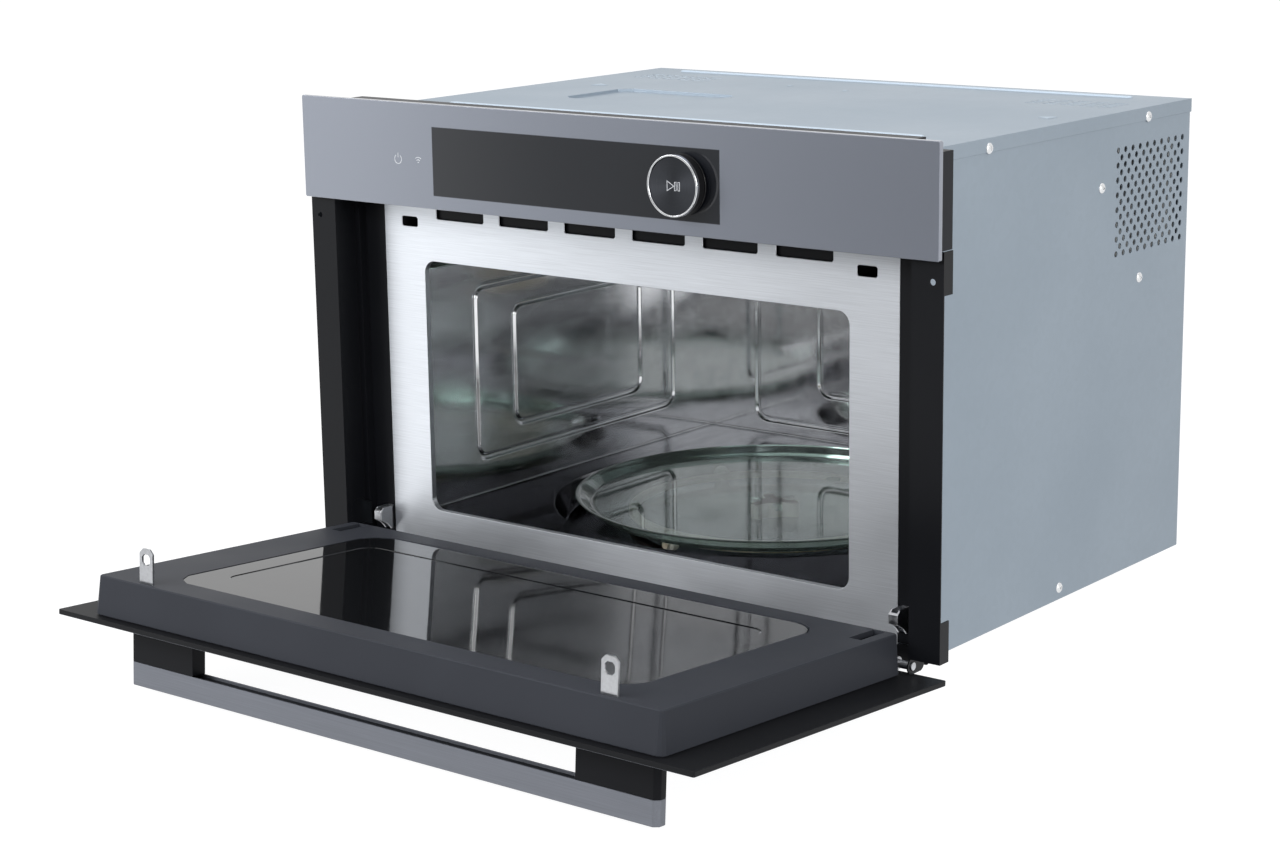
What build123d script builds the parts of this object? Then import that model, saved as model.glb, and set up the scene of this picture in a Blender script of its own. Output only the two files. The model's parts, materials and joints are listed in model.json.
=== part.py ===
from build123d import *
import os
from math import atan, cos, degrees, radians, sin

os.makedirs("parts", exist_ok=True)

# Built-in microwave with a drop-down door, in millimetres.
# X runs across the front, Y from the front to the rear, Z up.
# The origin is the centre of the body's footprint, on the plane of its base.
# Every door piece is drawn with the door shut and then swung open about the hinge.

# Front
front_w = 595.0  # width of the control panel and of the door glass
panel_h = 81.0  # height of the control panel
door_h = 291.5  # height of the door glass
front_gap = 3.5  # gap between the door glass and the control panel
door_foot = 0.5  # lower edge of the shut door above the base
glass_t = 4.0  # thickness of the front glasses
glass_corner = 1.0
glass_edge = 0.4  # bevel round the front of a glass
front_standoff = 35.0  # from the front of the glasses back to the face plate
door_top = door_foot + door_h
panel_z = door_top + front_gap
panel_top = panel_z + panel_h

# Body
body_in = 32.5  # sides of the body inside the front's edges
body_drop = 11.5  # top of the body below the top of the control panel
body_w = front_w - 2 * body_in
body_h = panel_top - body_drop
body_d = 390.0
front_y = -body_d / 2 - front_standoff
face_y = -body_d / 2
rear_y = body_d / 2
sheet = 0.8  # galvanised steel of the casing
plate_t = 1.0  # steel of the face plate and the side trims
cover_flange = 10.5  # height of the top cover's folded edges
panel_flange = 27.0  # width of the side panels' folded front edges
pan_flange = 16.0  # height of the base pan's folded edges

# Face plate and cavity
face_in = 53.0  # edge of the visible face plate inside the front's edge
cavity_in = 42.0  # side of the cavity inside the edge of the face plate
cavity_end = 11.0  # how much shallower the cavity is than the body
face_w = front_w - 2 * face_in
cavity_w = face_w - 2 * cavity_in
cavity_h = 204.0
cavity_z = 43.0  # floor of the cavity above the base
cavity_d = body_d - cavity_end
cavity_r = 10.0  # corner radius of the opening in the face plate
liner_t = 0.8  # stainless steel of the cavity
lip_d = 4.0  # depth of the rolled lip round the cavity opening
rib_w = 7.0  # width of the ribs pressed into the cavity walls
rib_h = 2.2  # height of those ribs

# Turntable
recess_in = 10.5  # from the recess to the nearer walls of the cavity
recess_r = min(cavity_w, cavity_d) / 2 - recess_in  # upper radius of the recess in the floor
glass_r = recess_r - 16.5
tray_t = 5.0  # thickness of the glass tray
tray_rise = 7.6  # height of the tray's rim above its flat part
recess_slope = 10.0  # how much smaller the recess is at its bottom
recess_depth = 19.0
roller_r = 6.0
roller_w = 9.0
roller_track_r = glass_r - 36.5  # radius of the circle that the rollers run on
axle_r = 2.0

# Door
door_opening = 86.2  # degrees from shut to fully open
hinge_in = 10.7  # hinge axis behind the front of the glass
hinge_up = 5.4  # hinge axis above the lower edge of the door glass
box_depth = 34.0  # from the front of the glass to the inner face of the door
box_gap = 5.0  # from the front of the glass to the wide edge of the box
box_in = 31.0  # wide edge of the door box inside the glass's side edge
box_w = front_w - 2 * box_in
box_foot = 9.6  # wide edge of the door box above the lower edge of the glass
box_head = 8.0  # wide edge of the door box below the upper edge of the glass
box_draft = 5.0  # degrees of taper of the door box
box_wall = 3.0
box_face = 4.0  # thickness of the door box's inner face
window_in = 105.5  # window inside the glass's side edge
window_cut = 68.25  # half of how much lower the window is than the glass
window_w = front_w - 2 * window_in
window_h = door_h - 2 * window_cut
window_up = door_h / 2 - 1.25  # centre of the window above the lower edge of the glass
inner_lap = 24.0  # how far the inner glass reaches beyond the window at the sides
inner_rise = 32.5  # and above and below it
inner_w = window_w + 2 * inner_lap
inner_h = window_h + 2 * inner_rise
inner_t = 2.0
inner_sunk = 0.4  # the inner glass lies this far below the door's inner face
inner_r = 26.0  # corner radius of the inner glass
screen_lap = 20.0  # how far the screen reaches beyond the inner glass at the sides
screen_rise = 8.0  # and above and below it
screen_w = inner_w + 2 * screen_lap
screen_h = inner_h + 2 * screen_rise
screen_t = 0.6

# Hinge
pin_r = 3.0
ear_r = 5.9  # radius of the trim's ear round the hinge pin
ear_back = 9.5  # how far the ear runs back from the pin
hook_x = front_w / 2 - 47.3  # middle of the hinge bracket
hook_w = 8.0  # width of the bracket's staple
hook_t = 1.5
hook_clear_r = 25.8  # the staple stays outside this radius about the hinge axis
hook_front = 15.0  # how far the staple stands out in front of the face plate
hook_top = 40.0
arm_x = front_w / 2 - 36.5  # outer face of the hinge arms inside the door box
arm_t = 2.0

# Handle
handle_in = 48.5  # ends of the handle inside the glass's side edges
handle_w = front_w - 2 * handle_in
handle_reach = 50.0  # from the glass to the far side of the bar
handle_t = 12.5  # thickness of the bar, up and down with the door shut
handle_drop = 27.5  # upper side of the bar below the upper edge of the glass
channel_h = 18.0  # depth of the channel that covers the bar
channel_t = 1.2
post_w = 68.0

# Knob
knob_x = 83.0
knob_z = panel_z + panel_h / 2 - 3.5
knob_d = 45.0
knob_reach = 13.0  # from the panel glass to the front of the knob
knob_press = 1.2  # how far the knob goes in
knob_rim = 1.6  # width of the bright ring at the knob's edge
knob_dish = 1.0  # how deep the disc lies behind that ring
shaft_r = 3.0
shaft_sides = 8  # so that the knob turns the rotor and can still slide in it

# Latch
latch_x = front_w / 2 - 80.2
latch_w = 14.0
latch_t = 2.0
latch_reach = 26.0  # beyond the inner face of the door
latch_up = door_h - 16.2  # above the lower edge of the door glass
latch_slot_w = 16.8
latch_slot_h = 7.8
latch_slot_z = door_top - 14.8

# Vents
vent_w = 49.2
vent_h = 12.0
vent_corner = 1.2
vent_pitch = 65.6
vent_count = 6
vent_z = door_top - 4.9
hole_r = 2.4
hole_sides = 6
hole_pitch_y = 11.6  # within a row of the perforated field
hole_pitch_z = 11.36  # between rows of the same kind
hole_cols = 10
hole_rows = 8
field_y = rear_y - 65.0  # centre of the field on the right side
field_z = body_h - 69.0

# Trims
trim_front = 6.5  # front of the trims behind the front of the glasses
trim_gap = 25.8  # width of a trim's front flange
trim_step = 5.7  # jog of the trim's web near the face plate
trim_step_d = 7.0
seat_depth = 18.0  # cabinet front behind the front of the glasses
trim_foot = 12.0  # lower end of the trims above the base
tab_h = 30.0
screw_hole_x = front_w / 2 - 8.8
screw_hole_z = door_top - 11.6
screw_hole_r = 2.3

# Casing screws, each as depth and height
screw_r = 1.6
screw_sides = 6
screw_head_r = 4.2
screw_head_h = 2.2
screw_l = 6.0
flange_screw_z = body_h - 7.5
flange_screws = [(face_y + 82.0, flange_screw_z), (rear_y - 72.0, flange_screw_z)]
side_screws = [(rear_y - 142.0, body_h - 55.0), (rear_y - 79.0, body_h - 132.0), (0.5, 9.4)]

# Fits
run_fit = 0.05  # radial clearance of a shaft or pin that turns
free_gap = 0.3  # least gap between pieces that pass each other

# Derived places
liner_y = face_y + plate_t
cavity_rear = liner_y + cavity_d
cavity_mid_y = (liner_y + cavity_rear) / 2
cavity_mid_z = cavity_z + cavity_h / 2
ceiling_z = cavity_z + cavity_h + plate_t
wall_x = cavity_w / 2 + plate_t
side_x = body_w / 2 - sheet
web_x = front_w / 2 - trim_gap
trim_y = front_y + trim_front
seat_y = front_y + seat_depth
hinge_y = front_y + hinge_in
hinge_z = door_foot + hinge_up
hinge_axis = Axis((0, hinge_y, hinge_z), (1, 0, 0))
recess_z = cavity_z - recess_depth
tray_z = recess_z + 2 * roller_r + 2 * free_gap
hook_low = 20.7  # lower edge of the staple where it passes the face plate
hook_cut_h = hook_top - hook_low + 2 * free_gap


def front_plane(y):
    """Plane across the body at depth y, drawn in X and Z, whose extrusions go to the front."""
    return Plane.XZ.offset(-y)


def side_plane(x):
    """Plane along the body at x, drawn in Y and Z, whose extrusions go to the right."""
    return Plane.YZ.offset(x)


def inward_plane(y):
    """Plane across the body at depth y, whose extrusions go into the body."""
    return Plane(origin=(0, y, 0), x_dir=(-1, 0, 0), z_dir=(0, 1, 0))


def clipped(width, height, cut, mode=Mode.ADD):
    """Rectangle with its four corners cut off."""
    x = width / 2
    z = height / 2
    corners = [(x - cut, z), (cut - x, z), (-x, z - cut), (-x, cut - z)]
    return Polygon(*corners, *[(-a, -b) for a, b in corners], mode=mode)


def softened(width, height, corner, mode=Mode.ADD):
    """Rectangle whose corners turn in three steps round an arc of the given radius."""
    reach = corner / cos(radians(15))
    points = []
    for turn, x, z in ((0, 1, 1), (90, -1, 1), (180, -1, -1), (270, 1, -1)):
        for step in (15, 45, 75):
            angle = radians(turn + step)
            points.append((x * (width / 2 - corner) + reach * cos(angle),
                           z * (height / 2 - corner) + reach * sin(angle)))
    return Polygon(*points, mode=mode)


def ring_sketch(plane, place, width, height, corner, band):
    """Rectangular band with softened corners, centred on the given outline."""
    with BuildSketch(plane) as ring:
        with Locations(place):
            softened(width + band, height + band, corner + band / 2)
            softened(width - band, height - band, corner - band / 2, mode=Mode.SUBTRACT)
    return ring.sketch


def save_open(piece, name):
    """Swing a door piece open about the hinge and write it."""
    swung = piece.rotate(hinge_axis, door_opening)
    swung.label = name
    export_step(swung, f"parts/{name}.step")


# Base pan: folded edges, pressed stiffening ribs and air slots
pan_w = body_w - 4 * sheet
pan_front = liner_y + sheet
pan_rear = rear_y - 3 * sheet
pan_d = pan_rear - pan_front
pan_mid = (pan_front + pan_rear) / 2
base_rib_w = 16.0
base_rib_h = 2.0
base_rib_gap = 200.0
rib_inset = 60.0  # from the pan's edge to the end of a rib
rib_end = 5.0  # how far the corners of a rib are cut off
base_slot = (20.0, 5.0)  # length and width of an air slot
base_slot_pitch = 12.0
base_slot_in = 31.0  # middle of the air slots inside the pan's edge

with BuildPart() as base_plate:
    with BuildSketch() as pan_floor:
        with Locations((0, pan_mid)):
            Rectangle(pan_w, pan_d)
    extrude(amount=sheet)
    with BuildSketch(Plane.XY.offset(sheet)) as pan_edge:
        with Locations((0, pan_mid)):
            Rectangle(pan_w, pan_d)
            Rectangle(pan_w - 2 * sheet, pan_d - 2 * sheet, mode=Mode.SUBTRACT)
    extrude(amount=pan_flange - sheet)
    with BuildSketch(Plane.XY.offset(sheet)) as rib_tops:
        with GridLocations(0, base_rib_gap, 1, 2):
            with Locations((0, pan_mid)):
                clipped(pan_w - 2 * rib_inset, base_rib_w, rib_end)
    extrude(amount=base_rib_h)
    with BuildSketch() as rib_grooves:
        with GridLocations(0, base_rib_gap, 1, 2):
            with Locations((0, pan_mid)):
                clipped(pan_w - 2 * rib_inset - 2 * sheet, base_rib_w - 2 * sheet, rib_end - sheet)
    extrude(amount=base_rib_h, mode=Mode.SUBTRACT)
    with BuildSketch() as air_slots:
        with Locations((0, pan_mid + base_rib_gap / 2), (0, pan_mid - base_rib_gap / 2)):
            with GridLocations(pan_w - 2 * base_slot_in, base_slot_pitch, 2, 3):
                Rectangle(*base_slot)
    extrude(amount=sheet, mode=Mode.SUBTRACT)
    with BuildSketch(side_plane(-pan_w / 2)) as pan_holes:
        with Locations(side_screws[-1]):
            RegularPolygon(screw_r, screw_sides)
    extrude(amount=pan_w, mode=Mode.SUBTRACT)

base_plate.part.label = "base_plate"
export_step(base_plate.part, "parts/base_plate.step")


# Side panels: plain sheets with folded front and rear edges
def side_sheet():
    """Right side panel without its perforated field."""
    with BuildPart() as blank:
        with BuildSketch() as profile:
            with BuildLine():
                front = liner_y
                rear = rear_y - 2 * sheet
                fold = side_x - panel_flange
                Polyline(
                    (fold, front),
                    (side_x, front),
                    (side_x, rear),
                    (fold + 12, rear),
                    (fold + 12, rear - sheet),
                    (side_x - sheet, rear - sheet),
                    (side_x - sheet, front + sheet),
                    (fold, front + sheet),
                    close=True,
                )
            make_face()
        extrude(amount=body_h - sheet)
        with BuildSketch(front_plane(front + sheet)) as hinge_notch:
            with Locations((hook_x, hook_top + free_gap)):
                Rectangle(hook_w + 2 * free_gap, hook_cut_h, align=(Align.CENTER, Align.MAX))
        extrude(amount=sheet, mode=Mode.SUBTRACT)
        with BuildSketch(side_plane(side_x - sheet)) as screw_holes:
            with Locations(*flange_screws, *side_screws):
                RegularPolygon(screw_r, screw_sides)
        extrude(amount=sheet, mode=Mode.SUBTRACT)
    return blank.part


with BuildPart() as side_panel_left:
    add(mirror(side_sheet(), about=Plane.YZ))

side_panel_left.part.label = "side_panel_left"
export_step(side_panel_left.part, "parts/side_panel_left.step")

with BuildPart() as side_panel_right:
    add(side_sheet())
    with BuildSketch(side_plane(side_x - sheet)) as perforation:
        with Locations((field_y, field_z)):
            with GridLocations(hole_pitch_y, hole_pitch_z, hole_cols, hole_rows):
                RegularPolygon(hole_r, 4)
            with GridLocations(hole_pitch_y, hole_pitch_z, hole_cols - 1, hole_rows - 1):
                RegularPolygon(hole_r, 4)
    extrude(amount=sheet, mode=Mode.SUBTRACT)

side_panel_right.part.label = "side_panel_right"
export_step(side_panel_right.part, "parts/side_panel_right.step")

# Rear panel: stiffened by a pressed ring, with an air field and the hole for the gland
gland_x = 65.0 - body_w / 2
gland_z = body_h - 47.0
gland_hole_r = 11.0
gland_sides = 12
rear_w = 2 * side_x
rear_h = body_h - sheet
pad_h = 2.0
pad_band = 12.0
pad_corner = 26.0
rear_slot = (26.0, 4.0)
rear_slot_pitch = (34.0, 9.0)
rear_field = (body_w / 2 - 115.0, body_h - 60.0)  # centre of the air field

with BuildPart() as rear_panel:
    with BuildSketch(front_plane(rear_y - sheet)) as rear_blank:
        with Locations((0, rear_h / 2)):
            Rectangle(rear_w, rear_h)
    extrude(amount=sheet)
    middle = (0, cavity_mid_z)
    pad_w = cavity_w - pad_band
    extrude(ring_sketch(front_plane(rear_y - 2 * sheet), middle, pad_w, cavity_h - pad_band,
                        pad_corner, pad_band), amount=pad_h)
    extrude(ring_sketch(front_plane(rear_y - sheet), middle, pad_w, cavity_h - pad_band,
                        pad_corner, pad_band - 2 * sheet), amount=pad_h, mode=Mode.SUBTRACT)
    with BuildSketch(front_plane(rear_y - sheet)) as rear_cuts:
        with Locations(rear_field):
            with GridLocations(*rear_slot_pitch, 4, 5):
                Rectangle(*rear_slot)
        with Locations((gland_x, gland_z)):
            RegularPolygon(gland_hole_r, gland_sides)
    extrude(amount=sheet, mode=Mode.SUBTRACT)

rear_panel.part.label = "rear_panel"
export_step(rear_panel.part, "parts/rear_panel.step")

# Top cover: folded over the sides and the rear, with beads, a pressed pocket and air slots
cover_d = body_d - plate_t
cover_mid = liner_y + cover_d / 2
bead_w = 9.0
bead_h = 1.4
bead_inset = 40.0  # from the side of the body to the end of a bead
bead_places = [(0, face_y + 60.0), (0, rear_y - 23.0)]
pocket_x = -118.0
pocket_y = -10.0
pocket_w = 120.0
pocket_d = 84.0
pocket_depth = 2.5
pocket_corner = 9.0
cover_slot = (12.0, 3.6)
cover_slot_pitch = (16.0, 9.0)
cover_field_left = (70.0 - body_w / 2, rear_y - 67.0)
cover_field_right = (body_w / 2 - 60.0, rear_y - 77.0)

with BuildPart() as top_cover:
    with BuildSketch(Plane.XY.offset(body_h - cover_flange)) as cover_outline:
        with Locations((0, cover_mid)):
            Rectangle(body_w, cover_d)
    extrude(amount=cover_flange)
    with BuildSketch(Plane.XY.offset(body_h - cover_flange)) as cover_inside:
        with Locations((0, cover_mid - sheet)):
            Rectangle(body_w - 2 * sheet, cover_d)
    extrude(amount=cover_flange - sheet, mode=Mode.SUBTRACT)
    with BuildSketch(Plane.XY.offset(body_h)) as beads:
        with Locations(*bead_places):
            clipped(body_w - 2 * bead_inset, bead_w, bead_w / 3)
    extrude(amount=bead_h, taper=45)
    with BuildSketch(Plane.XY.offset(body_h - sheet)) as bead_hollows:
        with Locations(*bead_places):
            clipped(body_w - 2 * bead_inset, bead_w, bead_w / 3)
    extrude(amount=bead_h, taper=45, mode=Mode.SUBTRACT)
    with BuildSketch(Plane.XY.offset(body_h - sheet)) as pocket_under:
        with Locations((pocket_x, pocket_y)):
            clipped(pocket_w + 2 * sheet, pocket_d + 2 * sheet, pocket_corner)
    extrude(amount=-pocket_depth)
    with BuildSketch(Plane.XY.offset(body_h)) as pocket_top:
        with Locations((pocket_x, pocket_y)):
            clipped(pocket_w, pocket_d, pocket_corner)
    extrude(amount=-pocket_depth, mode=Mode.SUBTRACT)
    with BuildSketch(Plane.XY.offset(body_h - sheet)) as cover_slots:
        with Locations(cover_field_left, cover_field_right):
            with GridLocations(*cover_slot_pitch, 5, 4):
                Rectangle(*cover_slot)
    extrude(amount=sheet, mode=Mode.SUBTRACT)
    with BuildSketch(side_plane(0)) as flange_holes:
        with Locations(*flange_screws):
            RegularPolygon(screw_r, screw_sides)
    extrude(amount=body_w, both=True, mode=Mode.SUBTRACT)

top_cover.part.label = "top_cover"
export_step(top_cover.part, "parts/top_cover.step")

# Face plate: the bright front of the body, with a lip round the cavity opening
with BuildPart() as face_plate:
    with BuildSketch(front_plane(liner_y)) as face_outline:
        with Locations((0, body_h / 2)):
            Rectangle(face_w, body_h)
        with Locations((0, cavity_mid_z)):
            RectangleRounded(cavity_w, cavity_h, cavity_r, mode=Mode.SUBTRACT)
        with Locations((0, vent_z)):
            with GridLocations(vent_pitch, 0, vent_count, 1):
                clipped(vent_w, vent_h, vent_corner, mode=Mode.SUBTRACT)
    extrude(amount=plate_t)
    with BuildSketch(front_plane(liner_y + lip_d)) as face_lip:
        with Locations((0, cavity_mid_z)):
            RectangleRounded(cavity_w + 2 * plate_t, cavity_h + 2 * plate_t, cavity_r + plate_t)
            RectangleRounded(cavity_w, cavity_h, cavity_r, mode=Mode.SUBTRACT)
    extrude(amount=lip_d)
    with BuildSketch(front_plane(liner_y)) as latch_slots:
        with Locations((latch_x, latch_slot_z), (-latch_x, latch_slot_z)):
            clipped(latch_slot_w, latch_slot_h, vent_corner)
    extrude(amount=plate_t, mode=Mode.SUBTRACT)

face_plate.part.label = "face_plate"
export_step(face_plate.part, "parts/face_plate.step")

# Cavity wrap: left wall, ceiling and right wall folded from one sheet, with pressed rings
ring_w = cavity_d - 109.0
ring_h = cavity_h - 54.0
ring_r = 14.0
core_w = ring_w - 95.0
core_h = ring_h - 42.0
wrap_flange = 9.0
wrap_r = cavity_r + plate_t
feed_w = 76.0  # window in the right wall that the microwaves come through
feed_h = 52.0
lamp_x = -60.0
lamp_y = face_y + 77.0
lamp_hole_r = 2.0
lamp_hole_pitch = 6.4

with BuildPart() as cavity_wrap:
    with BuildSketch(front_plane(cavity_rear)) as wrap_profile:
        with Locations((0, cavity_z)):
            softened(2 * (wall_x + liner_t), 2 * (ceiling_z + liner_t - cavity_z),
                     wrap_r + liner_t)
            softened(2 * wall_x, 2 * (ceiling_z - cavity_z), wrap_r, mode=Mode.SUBTRACT)
            Rectangle(3 * wall_x, 3 * wall_x, align=(Align.CENTER, Align.MAX), mode=Mode.SUBTRACT)
            for side in (-1, 1):
                with Locations((side * (wall_x + wrap_flange / 2), liner_t / 2)):
                    Rectangle(wrap_flange, liner_t)
    extrude(amount=cavity_d)
    middle = (cavity_mid_y, cavity_mid_z)
    for width, height in ((ring_w, ring_h), (core_w, core_h)):
        extrude(ring_sketch(side_plane(-wall_x - liner_t), middle, width, height, ring_r,
                            rib_w), amount=-rib_h)
        extrude(ring_sketch(side_plane(-wall_x), middle, width, height, ring_r,
                            rib_w - 2 * liner_t), amount=-rib_h, mode=Mode.SUBTRACT)
    extrude(ring_sketch(side_plane(wall_x + liner_t), middle, ring_w, ring_h, ring_r, rib_w),
            amount=rib_h)
    extrude(ring_sketch(side_plane(wall_x), middle, ring_w, ring_h, ring_r, rib_w - 2 * liner_t),
            amount=rib_h, mode=Mode.SUBTRACT)
    with BuildSketch(side_plane(wall_x)) as feed_window:
        with Locations(middle):
            Rectangle(feed_w, feed_h)
    extrude(amount=liner_t, mode=Mode.SUBTRACT)
    with BuildSketch(Plane.XY.offset(ceiling_z)) as lamp_holes:
        with Locations((lamp_x, lamp_y)):
            with GridLocations(lamp_hole_pitch, lamp_hole_pitch, 3, 3):
                RegularPolygon(lamp_hole_r, hole_sides)
    extrude(amount=liner_t, mode=Mode.SUBTRACT)

cavity_wrap.part.label = "cavity_wrap"
export_step(cavity_wrap.part, "parts/cavity_wrap.step")

# Cavity rear wall with its pressed rings
back_ring_w = cavity_w - 95.0
back_ring_h = cavity_h - 18.0
back_core_w = back_ring_w - 136.0
back_core_h = back_ring_h - 58.0

with BuildPart() as cavity_back:
    with BuildSketch(inward_plane(cavity_rear)) as back_blank:
        with Locations((0, cavity_z)):
            Rectangle(2 * wall_x + 2 * liner_t, ceiling_z + liner_t - cavity_z,
                      align=(Align.CENTER, Align.MIN))
    extrude(amount=liner_t)
    middle = (0, cavity_mid_z)
    for width, height in ((back_ring_w, back_ring_h), (back_core_w, back_core_h)):
        extrude(ring_sketch(inward_plane(cavity_rear + liner_t), middle, width, height, ring_r,
                            rib_w), amount=rib_h)
        extrude(ring_sketch(inward_plane(cavity_rear), middle, width, height, ring_r,
                            rib_w - 2 * liner_t), amount=rib_h, mode=Mode.SUBTRACT)

cavity_back.part.label = "cavity_back"
export_step(cavity_back.part, "parts/cavity_back.step")

# Cavity floor with the round recess for the roller ring
floor_hole_r = 5.0
recess_sides = 48
recess_taper = degrees(atan(recess_slope / recess_depth))

with BuildPart() as cavity_floor:
    with BuildSketch(Plane.XY.offset(cavity_z - liner_t)) as floor_sheet:
        with Locations((0, cavity_mid_y + lip_d / 2)):
            Rectangle(2 * wall_x + 2 * wrap_flange, cavity_d - lip_d)
    extrude(amount=liner_t)
    with BuildSketch(Plane.XY.offset(cavity_z)) as recess_outside:
        with Locations((0, cavity_mid_y)):
            RegularPolygon(recess_r + liner_t, recess_sides)
    extrude(amount=-recess_depth - liner_t, taper=recess_taper)
    with BuildSketch(Plane.XY.offset(cavity_z)) as recess_inside:
        with Locations((0, cavity_mid_y)):
            RegularPolygon(recess_r, recess_sides)
    extrude(amount=-recess_depth, taper=recess_taper, mode=Mode.SUBTRACT)
    with BuildSketch(Plane.XY.offset(recess_z)) as floor_hole:
        with Locations((0, cavity_mid_y)):
            RegularPolygon(floor_hole_r, hole_sides)
    extrude(amount=-liner_t, mode=Mode.SUBTRACT)

cavity_floor.part.label = "cavity_floor"
export_step(cavity_floor.part, "parts/cavity_floor.step")

# Rails that carry the cavity on the base pan
rail_x = wall_x + 3.0
rail_foot = 14.0
rail_t = 1.2

with BuildPart() as cavity_rails:
    with BuildSketch(front_plane(cavity_rear)) as rail_profile:
        with BuildLine():
            Polyline(
                (rail_x, sheet),
                (rail_x + rail_foot, sheet),
                (rail_x + rail_foot, sheet + rail_t),
                (rail_x + rail_t, sheet + rail_t),
                (rail_x + rail_t, cavity_z - liner_t),
                (rail_x, cavity_z - liner_t),
                close=True,
            )
        make_face()
    extrude(amount=cavity_d - 10)
    mirror(about=Plane.YZ)

cavity_rails.part.label = "cavity_rails"
export_step(cavity_rails.part, "parts/cavity_rails.step")

# Mica cover over the feed window, inside the cavity
mica_t = 0.5
mica_edge = 12.0  # how far the sheet laps the window

with BuildPart() as waveguide_cover:
    with BuildSketch(side_plane(wall_x - mica_t)) as mica:
        with Locations((cavity_mid_y, cavity_mid_z)):
            clipped(feed_w + 2 * mica_edge, feed_h + 2 * mica_edge, mica_edge / 3)
    extrude(amount=mica_t)

waveguide_cover.part.label = "waveguide_cover"
export_step(waveguide_cover.part, "parts/waveguide_cover.step")

# Waveguide: a closed duct up the outside of the right wall
guide_x = wall_x + liner_t + rib_h
guide_w = 80.0
guide_d = 38.0
guide_t = 1.0
guide_edge = 6.0  # how far the duct reaches below the feed window
guide_low = cavity_mid_z - feed_h / 2 - guide_edge
guide_top = body_h - 23.0
antenna_r = 9.0
antenna_z = guide_top - 42.0
antenna_l = 22.0
turned_sides = 12
small_sides = 8

with BuildPart() as waveguide:
    with BuildSketch(Plane.XY.offset(guide_low)) as duct:
        with Locations((guide_x, cavity_mid_y)):
            Rectangle(guide_d, guide_w, align=(Align.MIN, Align.CENTER))
    extrude(amount=guide_top - guide_low)
    with BuildSketch(Plane.XY.offset(guide_low + guide_t)) as duct_inside:
        with Locations((guide_x + guide_t, cavity_mid_y)):
            Rectangle(guide_d - 2 * guide_t, guide_w - 2 * guide_t,
                      align=(Align.MIN, Align.CENTER))
    extrude(amount=guide_top - guide_low - 2 * guide_t, mode=Mode.SUBTRACT)
    with BuildSketch(side_plane(wall_x + liner_t)) as spigot:
        with Locations((cavity_mid_y, cavity_mid_z)):
            Rectangle(feed_w + 2 * guide_t, feed_h + 2 * guide_t)
    extrude(amount=rib_h)
    with BuildSketch(side_plane(wall_x + liner_t)) as mouth:
        with Locations((cavity_mid_y, cavity_mid_z)):
            Rectangle(feed_w, feed_h)
    extrude(amount=rib_h + guide_t, mode=Mode.SUBTRACT)
    with BuildSketch(side_plane(guide_x)) as antenna_hole:
        with Locations((cavity_mid_y, antenna_z)):
            RegularPolygon(antenna_r + 1, turned_sides)
    extrude(amount=guide_t, mode=Mode.SUBTRACT)

waveguide.part.label = "waveguide"
export_step(waveguide.part, "parts/waveguide.step")

# Magnetron: a steel yoke round a stack of cooling fins, with its antenna in the waveguide
yoke_w = 78.0
yoke_h = 66.0
yoke_rise = 5.2  # gap between the yoke and the ceiling of the cavity
yoke_d = 2 * (antenna_z - ceiling_z - liner_t - yoke_rise)
yoke_t = 2.0
anode_r = 20.0
fin_count = 5
fin_t = 0.8
fin_pitch = 8.0
fin_edge = 4.0  # how far the fins stay inside the yoke's open sides
magnetron_x = guide_x - yoke_h  # left side of the yoke

with BuildPart() as magnetron:
    with BuildSketch(side_plane(magnetron_x)) as yoke:
        with Locations((cavity_mid_y, antenna_z)):
            Rectangle(yoke_w, yoke_d)
    extrude(amount=yoke_h)
    with BuildSketch(front_plane(cavity_mid_y + yoke_w / 2)) as yoke_inside:
        with Locations((guide_x - yoke_h / 2, antenna_z)):
            Rectangle(yoke_h - 2 * yoke_t, yoke_d - 2 * yoke_t)
    extrude(amount=yoke_w, mode=Mode.SUBTRACT)
    with BuildSketch(side_plane(magnetron_x + yoke_t)) as anode:
        with Locations((cavity_mid_y, antenna_z)):
            RegularPolygon(anode_r, small_sides)
    extrude(amount=yoke_h - 2 * yoke_t)
    for step in range(fin_count):
        fin_x = guide_x - yoke_h / 2 + (step - fin_count / 2 + 0.5) * fin_pitch
        with BuildSketch(side_plane(fin_x - fin_t / 2)) as fin:
            with Locations((cavity_mid_y, antenna_z)):
                Rectangle(yoke_w - 2 * fin_edge, yoke_d - 2 * yoke_t)
        extrude(amount=fin_t)
    with BuildSketch(side_plane(guide_x)) as antenna:
        with Locations((cavity_mid_y, antenna_z)):
            RegularPolygon(antenna_r, turned_sides)
    extrude(amount=antenna_l)

magnetron.part.label = "magnetron"
export_step(magnetron.part, "parts/magnetron.step")

# High-voltage transformer: laminated core, two windings and its mounting foot
shelf_z = ceiling_z + liner_t
filter_x = 40.5 - wall_x
trafo_x = filter_x + 60.0
trafo_y = rear_y - 133.0
trafo_w = 84.0
trafo_d = 62.0
trafo_h = 70.0
trafo_foot = 13.0  # how far the foot reaches beyond each end of the core
trafo_foot_t = 2.0
trafo_hole_r = 2.6
coil_reach = 12.0
coil_end = 14.0  # from the end of the core to the windings
coil_low = 10.0  # from the foot to the windings

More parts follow.
